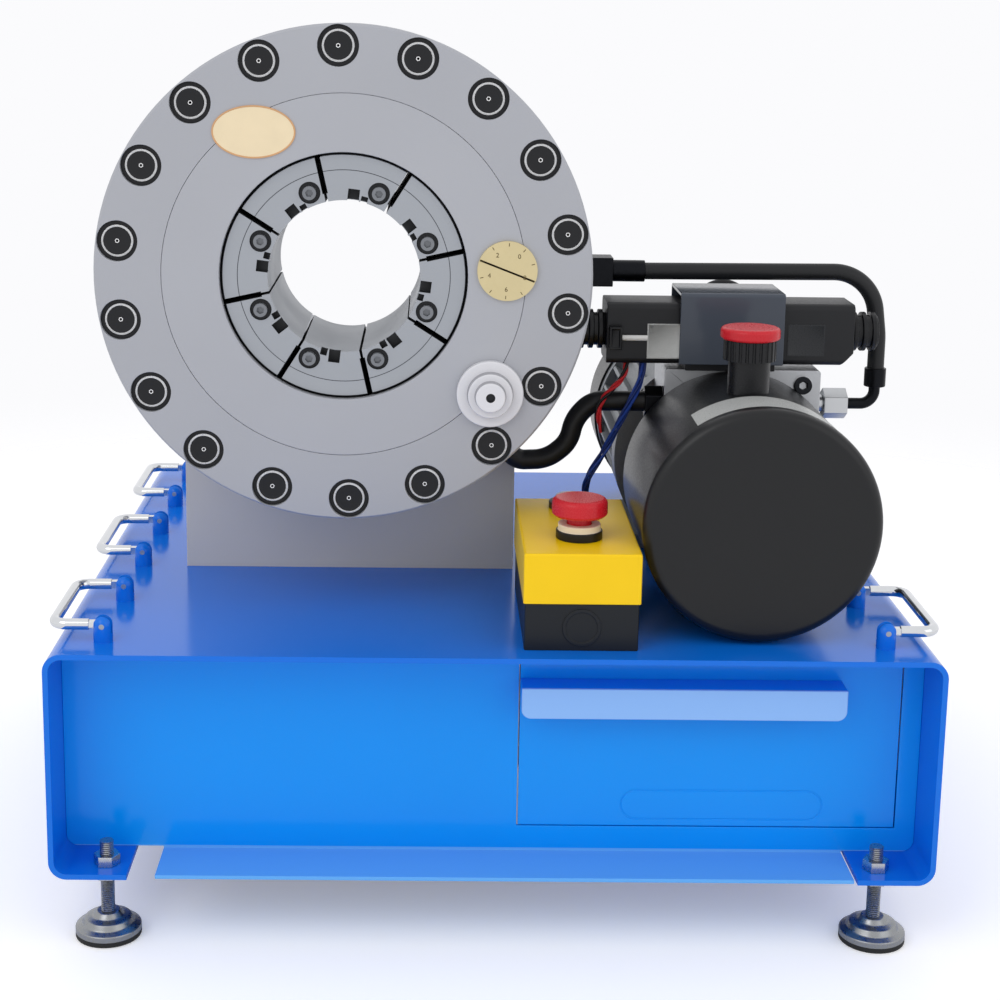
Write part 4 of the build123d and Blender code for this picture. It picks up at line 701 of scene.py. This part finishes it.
class CRIMPER_OT_station(PieceOperator, bpy.types.Operator):
    """Control station: black base, yellow lid, collars and buttons"""
    bl_idname = "crimper.station"
    bl_label = "Control station"

    def execute(self, context):
        tint = colours()
        black = moulded_plastic("moulded_black_abs", tint["station"], 0.42)
        dressed("station_base", black, 0.0006)
        dressed("station_lid", moulded_plastic("moulded_yellow_abs", tint["lid"], 0.34), 0.0006)
        collar = moulded_plastic("moulded_black_nylon", linear("141518"), 0.32)
        shader, place = shader_of(collar)
        lid_low, lid_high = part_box("station_lid")
        over = between(collar, axis_of(collar, place, "Z"), low=lid_high[2] + 0.0064)
        near = between(collar, axis_of(collar, place, "Y"), high=lid_low[1] + 0.08)
        # Painted highlight: the neck under the mushroom is coloured pale cream.
        masked(collar, shader, overlap(collar, over, near), linear("E6D9C0"), Roughness=0.45)
        dressed("button_collars", collar, 0.0006)
        dressed("estop_button", moulded_plastic("moulded_red_nylon", tint["stop"], 0.26), 0.0006)
        dressed("push_button", moulded_plastic("moulded_pale_nylon", tint["knob"], 0.3), 0.0005)
        return {"FINISHED"}


class CRIMPER_OT_tank(PieceOperator, bpy.types.Operator):
    """Oil tank, its bare label band, the filler neck and the red cap"""
    bl_idname = "crimper.tank"
    bl_label = "Oil tank"

    def label_band(self, thickness):
        """Bare label wrapped over the top of the tank behind its rim."""
        centre = centre_of("oil_tank")
        length, radius, behind_rim = 0.036, 0.08505, 0.018
        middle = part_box("oil_tank")[0][1] + behind_rim + length / 2
        band = blank("tank_label_band", vertices=180, radius=radius, depth=length, rotation=ALONG_Y,
                     location=(centre.x, middle, centre.z), end_fill_type="NOTHING")

        def outside(c, n):
            angle = math.degrees(math.atan2(c.x - centre.x, c.z - centre.z))
            return not -34 < angle < 46

        edit_faces(band, outside)
        bpy.ops.mesh.delete(type="FACE")
        bpy.ops.object.mode_set(mode="OBJECT")
        solid = band.modifiers.new("thickness", "SOLIDIFY")
        solid.thickness = thickness
        solid.offset = 1
        bpy.ops.object.modifier_apply(modifier="thickness")
        paint(band, moulded_plastic("grey_vinyl_label", linear("B4B6B4"), 0.3))
        settle(band, "machine")

    def execute(self, context):
        tint = colours()
        powder = moulded_plastic("black_powder_coat", tint["tank"], 0.36, 1.4, 0.03)
        fill(powder, shader_of(powder)[0], {"Coat Weight": 0.1, "Coat Roughness": 0.15})
        dressed("oil_tank", powder, 0.0006)
        self.label_band(context.scene.crimper_sizes.label_thickness)
        dressed("filler_neck", moulded_plastic("moulded_black_filler", linear("131417"), 0.3), 0.0004)
        cap = moulded_plastic("moulded_red_cap", tint["stop"], 0.28)
        dressed("filler_cap", cap, 0.0006)
        repaint("fan_cover", powder)
        repaint("motor_housing", bare_metal("cast_aluminium_motor", linear("8E9194"), 0.5, 1.2, 0.05))
        repaint("motor_shaft", bare_metal("ground_shaft_steel", linear("BFC1C4"), 0.22))
        repaint("cooling_fan", moulded_plastic("moulded_fan_nylon", linear("1D1F22"), 0.5))
        return {"FINISHED"}


class CRIMPER_OT_valve(PieceOperator, bpy.types.Operator):
    """Pump block, valve, coils, nuts and the saddle cover with their bare plates"""
    bl_idname = "crimper.valve"
    bl_label = "Pump block and valve"

    def bare_plate(self, name, left, low, width, height, material, slot):
        """Thin plate on the front of the coils."""
        thickness = bpy.context.scene.crimper_sizes.label_thickness
        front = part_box("left_solenoid")[0][1]
        plate = blank(name, "cube", size=1, scale=(width, thickness, height),
                      location=(left + width / 2, front - thickness / 2, low + height / 2))
        sink_front(plate, (0.0009, 0), (0.0002, -0.0001))
        paint(plate, material)
        settle(plate, "machine")

    def coil_terminal(self):
        """Terminal sleeve and its clamp on the front of the left coil."""
        left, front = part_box("left_solenoid")[0][:2]
        z = centre_of("solenoid_nuts").z - 0.003
        sleeve = blank("coil_sleeve", vertices=24, radius=0.0022, depth=0.020, rotation=ALONG_X,
                       location=(left + 0.0215, front - 0.0022, z))
        paint(sleeve, moulded_plastic("white_sleeve_pvc", linear("D9D9D6"), 0.4))
        clamp = blank("coil_clamp", "cube", size=1, scale=(0.010, 0.007, 0.018),
                      location=(left + 0.0065, front - 0.0035, z))
        sink_front(clamp, (0.0018, 0), (0.0004, -0.0012))
        paint(clamp, moulded_plastic("black_terminal_nylon", linear("101114"), 0.35))
        for piece, slot in ((sleeve, "white_plastic"), (clamp, "dark_plastic")):
            round_edges(piece, 0.0006)
            settle(piece, "machine")

    def execute(self, context):
        sizes = context.scene.crimper_sizes
        block = bare_metal("milled_aluminium", linear("B9BBBE"), 0.38, 2.0, 0.02)
        shader, place = shader_of(block)
        # The port plug stands in front of the milled face and is blackened steel.
        proud = between(block, axis_of(block, place, "Y"), high=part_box("pump_block")[0][1] + 0.0026)
        masked(block, shader, proud, linear("2A2B2E"), Roughness=0.45)
        dressed("pump_block", block, sizes.machined_edge)
        coil = moulded_plastic("epoxy_coil_black", linear("1A1B1E"), 0.38)
        for node in ("valve_body", "left_solenoid", "right_solenoid"):
            dressed(node, coil, 0.0007)
        dressed("solenoid_nuts", moulded_plastic("moulded_coil_nut", linear("121316"), 0.34), 0.0006)
        dressed("wiring_cover", stove_enamel("grey_cover_enamel", linear("464C56")), 0.0008)
        dressed("lifting_eye", stove_enamel("black_eye_enamel", linear("17181B")), 0.0005)
        silver = bare_metal("etched_plate_aluminium", linear("A9AAA8"), 0.4, 1.0, 0.03)
        self.bare_plate("coil_spec_plate", 0.1195, 0.4045, 0.0275, 0.0275, silver, "aluminium_block")
        dark = moulded_plastic("dark_coil_label", linear("26282B"), 0.28)
        self.bare_plate("coil_dark_label", 0.2290, 0.4075, 0.0290, 0.0250, dark, "dark_plastic")
        self.coil_terminal()
        return {"FINISHED"}


class CRIMPER_OT_hoses(PieceOperator, bpy.types.Operator):
    """Hydraulic hoses and their fittings"""
    bl_idname = "crimper.hoses"
    bl_label = "Hoses and fittings"

    def execute(self, context):
        black = bare_metal("blackened_fitting_steel", linear("202124"), 0.38)
        shader, place = shader_of(black)
        pump_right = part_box("pump_block")[1][0]
        # The adaptor and nut on the pump are zinc plated.
        plated = between(black, axis_of(black, place, "X"), pump_right, pump_right + 0.0293)
        masked(black, shader, plated, linear("C4C6C8"), Roughness=0.28)
        dressed("hose_fittings", black, 0.0007)
        rubber = moulded_plastic("wrapped_hose_rubber", linear("1B1C1E"), 0.42, 1.2, 0.05)
        for node in ("pressure_hose", "return_hose"):
            repaint(node, rubber)
        return {"FINISHED"}


# Routes of the free wires, in metres.
LOOM_ROUTE = [(0.118, -0.084, 0.400), (0.118, -0.084, 0.388), (0.111, -0.086, 0.372), (0.100, -0.087, 0.350),
              (0.088, -0.089, 0.326), (0.075, -0.091, 0.306), (0.076, -0.074, 0.284), (0.080, -0.080, 0.268),
              (0.083, -0.101, 0.268)]
LEADS_ROUTE = [(0.105, -0.084, 0.400), (0.105, -0.084, 0.391), (0.098, -0.087, 0.382), (0.087, -0.089, 0.372),
               (0.082, -0.091, 0.359), (0.087, -0.093, 0.345)]


def spline_of(name, route):
    """Points along the smooth line of a route."""
    curve = bpy.data.curves.new(name, "CURVE")
    curve.dimensions = "3D"
    curve.resolution_u = 8
    spline = curve.splines.new("NURBS")
    spline.points.add(len(route) - 1)
    for point, place in zip(spline.points, route):
        point.co = (*place, 1)
    spline.order_u = 3
    spline.use_endpoint_u = True
    guide = bpy.data.objects.new(name, curve)
    bpy.context.scene.collection.objects.link(guide)
    bpy.context.view_layer.update()
    mesh = bpy.data.meshes.new_from_object(guide)
    points = [vertex.co.copy() for vertex in mesh.vertices]
    bpy.data.meshes.remove(mesh)
    bpy.data.objects.remove(guide, do_unlink=True)
    return points


def strand(name, points, offset, phase, pitch, radius):
    """One wire winding slowly round the line of the bundle."""
    side = Vector((0, 1, 0))
    travelled = 0.0
    curve = bpy.data.curves.new(name, "CURVE")
    curve.dimensions = "3D"
    curve.bevel_depth = radius
    curve.bevel_resolution = 3
    curve.use_fill_caps = True
    spline = curve.splines.new("POLY")
    spline.points.add(len(points) - 1)
    for index, point in enumerate(points):
        after = points[min(index + 1, len(points) - 1)]
        before = points[max(index - 1, 0)]
        along = (after - before).normalized()
        side = (side - along * side.dot(along)).normalized()
        other = along.cross(side)
        angle = phase + math.tau * travelled / pitch
        spot = point + (side * math.cos(angle) + other * math.sin(angle)) * offset
        spline.points[index].co = (*spot, 1)
        travelled += (after - point).length
    piece = bpy.data.objects.new(name, curve)
    bpy.context.scene.collection.objects.link(piece)
    select_only(piece)
    bpy.ops.object.convert(target="MESH")
    return bpy.context.object


class CRIMPER_OT_wires(PieceOperator, bpy.types.Operator):
    """Bundle from the coils to the station and the two capped leads"""
    bl_idname = "crimper.wires"
    bl_label = "Wires"

    def bundle(self, node, route, count, reach, pitch, materials, length, far_end):
        radius = bpy.context.scene.crimper_sizes.wire
        points = spline_of(node + "_line", route)
        offset = reach - radius
        wires = []
        for index in range(count):
            wire = strand(f"{node}_{index}", points, offset, math.tau * index / count, pitch, radius)
            paint(wire, materials[index % len(materials)])
            wires.append(wire)
        select_only(*wires)
        bpy.ops.object.join()
        piece = named(node + "_wires")
        settle(piece, "machine")
        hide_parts(node)

    def execute(self, context):
        strands = context.scene.crimper_sizes.wire_count
        blue = moulded_plastic("blue_wire_pvc", linear("1E3F94"), 0.35)
        deep = moulded_plastic("deep_blue_wire_pvc", linear("142B6B"), 0.35)
        red = moulded_plastic("red_wire_pvc", linear("BC1C24"), 0.35)
        black = moulded_plastic("black_wire_pvc", linear("141416"), 0.35)
        self.bundle("station_loom", LOOM_ROUTE, strands, 0.003, 0.09, (blue, deep), 0.1665, "object")
        self.bundle("red_leads", LEADS_ROUTE, 3, 0.0025, 0.03, (red, black, red), 0.0637, "bare")
        return {"FINISHED"}


class CRIMPER_OT_stage(PieceOperator, bpy.types.Operator):
    """Pale floor, soft light and the camera"""
    bl_idname = "crimper.stage"
    bl_label = "Stage"

    def lamp(self, name, power, size, place, aim):
        """Square soft box that looks at a point."""
        data = bpy.data.lights.new(name, "AREA")
        data.energy = power
        data.shape = "SQUARE"
        data.size = size
        lamp = bpy.data.objects.new(name, data)
        lamp.location = place
        lamp.rotation_euler = (Vector(aim) - Vector(place)).to_track_quat("-Z", "Y").to_euler()
        bpy.context.scene.collection.objects.link(lamp)

    def room(self, strength):
        """Even light; seen, mirrored or looked through, the room is white."""
        world = bpy.data.worlds.new("studio_room")
        bpy.context.scene.world = world
        world.use_nodes = True
        world.node_tree.nodes.clear()
        path = add(world, "ShaderNodeLightPath")
        seen = add(world, "ShaderNodeMath", {0: path.outputs["Is Camera Ray"],
                                             1: path.outputs["Is Glossy Ray"]}, operation="MAXIMUM")
        bright = add(world, "ShaderNodeMath", {0: seen.outputs[0],
                                               1: path.outputs["Is Transmission Ray"]}, operation="MAXIMUM")
        level = add(world, "ShaderNodeMapRange", {"Value": bright.outputs[0], "To Min": strength,
                                                  "To Max": 1.0})
        light = add(world, "ShaderNodeBackground", {"Strength": level.outputs["Result"],
                                                    "Color": linear("FBFBFD")})
        add(world, "ShaderNodeOutputWorld", {"Surface": light.outputs[0]})

    def execute(self, context):
        scene = context.scene
        stage = scene.crimper_stage
        bpy.ops.object.select_all(action="DESELECT")
        bpy.ops.mesh.primitive_plane_add(size=40, location=(0, 0, -0.0002))
        floor = named("studio_floor")
        material, shader, place = begin("matt_floor_paint")
        grain = add(material, "ShaderNodeTexNoise", {"Vector": place, "Scale": per_mm(400), "Detail": 2.0})
        apart = add(material, "ShaderNodeVectorMath", {0: place}, operation="LENGTH").outputs["Value"]
        # The floor gives way to the white room at a distance, so no horizon shows.
        fade = add(material, "ShaderNodeMapRange", {"Value": apart, "From Min": 0.55, "From Max": 1.9,
                                                    "To Min": 1.0, "To Max": 0.0},
                   interpolation_type="SMOOTHSTEP")
        # Seen by the camera, the floor is lifted towards the white of the room; the shadow stays.
        path = add(material, "ShaderNodeLightPath")
        glow = add(material, "ShaderNodeMath", {0: path.outputs["Is Camera Ray"], 1: stage.floor_lift},
                   operation="MULTIPLY")
        fill(material, shader, {"Roughness": varied(material, grain.outputs["Fac"], 0.85, 0.95),
                                "Base Color": (*stage.floor, 1.0), "Alpha": fade.outputs["Result"],
                                "Emission Color": (1, 1, 1, 1), "Emission Strength": glow.outputs[0]})
        paint(floor, material)
        self.room(stage.sky)
        self.lamp("key_softbox", stage.key_power, 1.6, (-1.5, -1.9, 2.2), (0, 0, 0.35))
        self.lamp("fill_softbox", stage.fill_power, 1.8, (1.9, -1.7, 1.3), (0, 0, 0.3))
        data = bpy.data.cameras.new("catalogue_camera")
        data.sensor_width = 36
        data.lens = 66.34
        data.shift_x = 0.0493
        data.shift_y = -0.1128
        camera = bpy.data.objects.new("catalogue_camera", data)
        camera.location = (-0.0486, -1.5068, 0.662)
        camera.rotation_euler = (math.radians(78.7035), math.radians(-0.7038), math.radians(-0.4969))
        scene.collection.objects.link(camera)
        scene.camera = camera
        scene.view_settings.view_transform = "Standard"
        return {"FINISHED"}


STEPS = (CRIMPER_OT_stage, CRIMPER_OT_wires, CRIMPER_OT_base, CRIMPER_OT_feet, CRIMPER_OT_handles,
         CRIMPER_OT_head, CRIMPER_OT_cover_screws, CRIMPER_OT_face, CRIMPER_OT_station, CRIMPER_OT_tank,
         CRIMPER_OT_valve, CRIMPER_OT_hoses)


class CRIMPER_PT_panel(bpy.types.Panel):
    """Lists the steps in the sidebar"""
    bl_label = "Crimping machine"
    bl_idname = "CRIMPER_PT_panel"
    bl_space_type = "VIEW_3D"
    bl_region_type = "UI"
    bl_category = "Crimper"

    def draw(self, context):
        for kind in GROUPS:
            group = getattr(context.scene, kind)
            box = self.layout.box()
            for name in group.__annotations__:
                box.prop(group, name)
        for step in STEPS:
            self.layout.operator(step.bl_idname)


GROUPS = {"crimper_colours": CrimperColours, "crimper_sizes": CrimperSizes, "crimper_stage": CrimperStage}


def register():
    """Registers the property groups, the operators and the panel."""
    for name, group in GROUPS.items():
        bpy.utils.register_class(group)
        setattr(bpy.types.Scene, name, PointerProperty(type=group))
    for item in (*STEPS, CRIMPER_PT_panel):
        bpy.utils.register_class(item)


def unregister():
    """Takes everything out again."""
    for item in (CRIMPER_PT_panel, *reversed(STEPS)):
        bpy.utils.unregister_class(item)
    for name, group in reversed(GROUPS.items()):
        delattr(bpy.types.Scene, name)
        bpy.utils.unregister_class(group)


def main():
    """Builds the whole machine."""
    register()
    for step in STEPS:
        group, name = step.bl_idname.split(".")
        getattr(getattr(bpy.ops, group), name)()


if __name__ == "__main__":
    main()
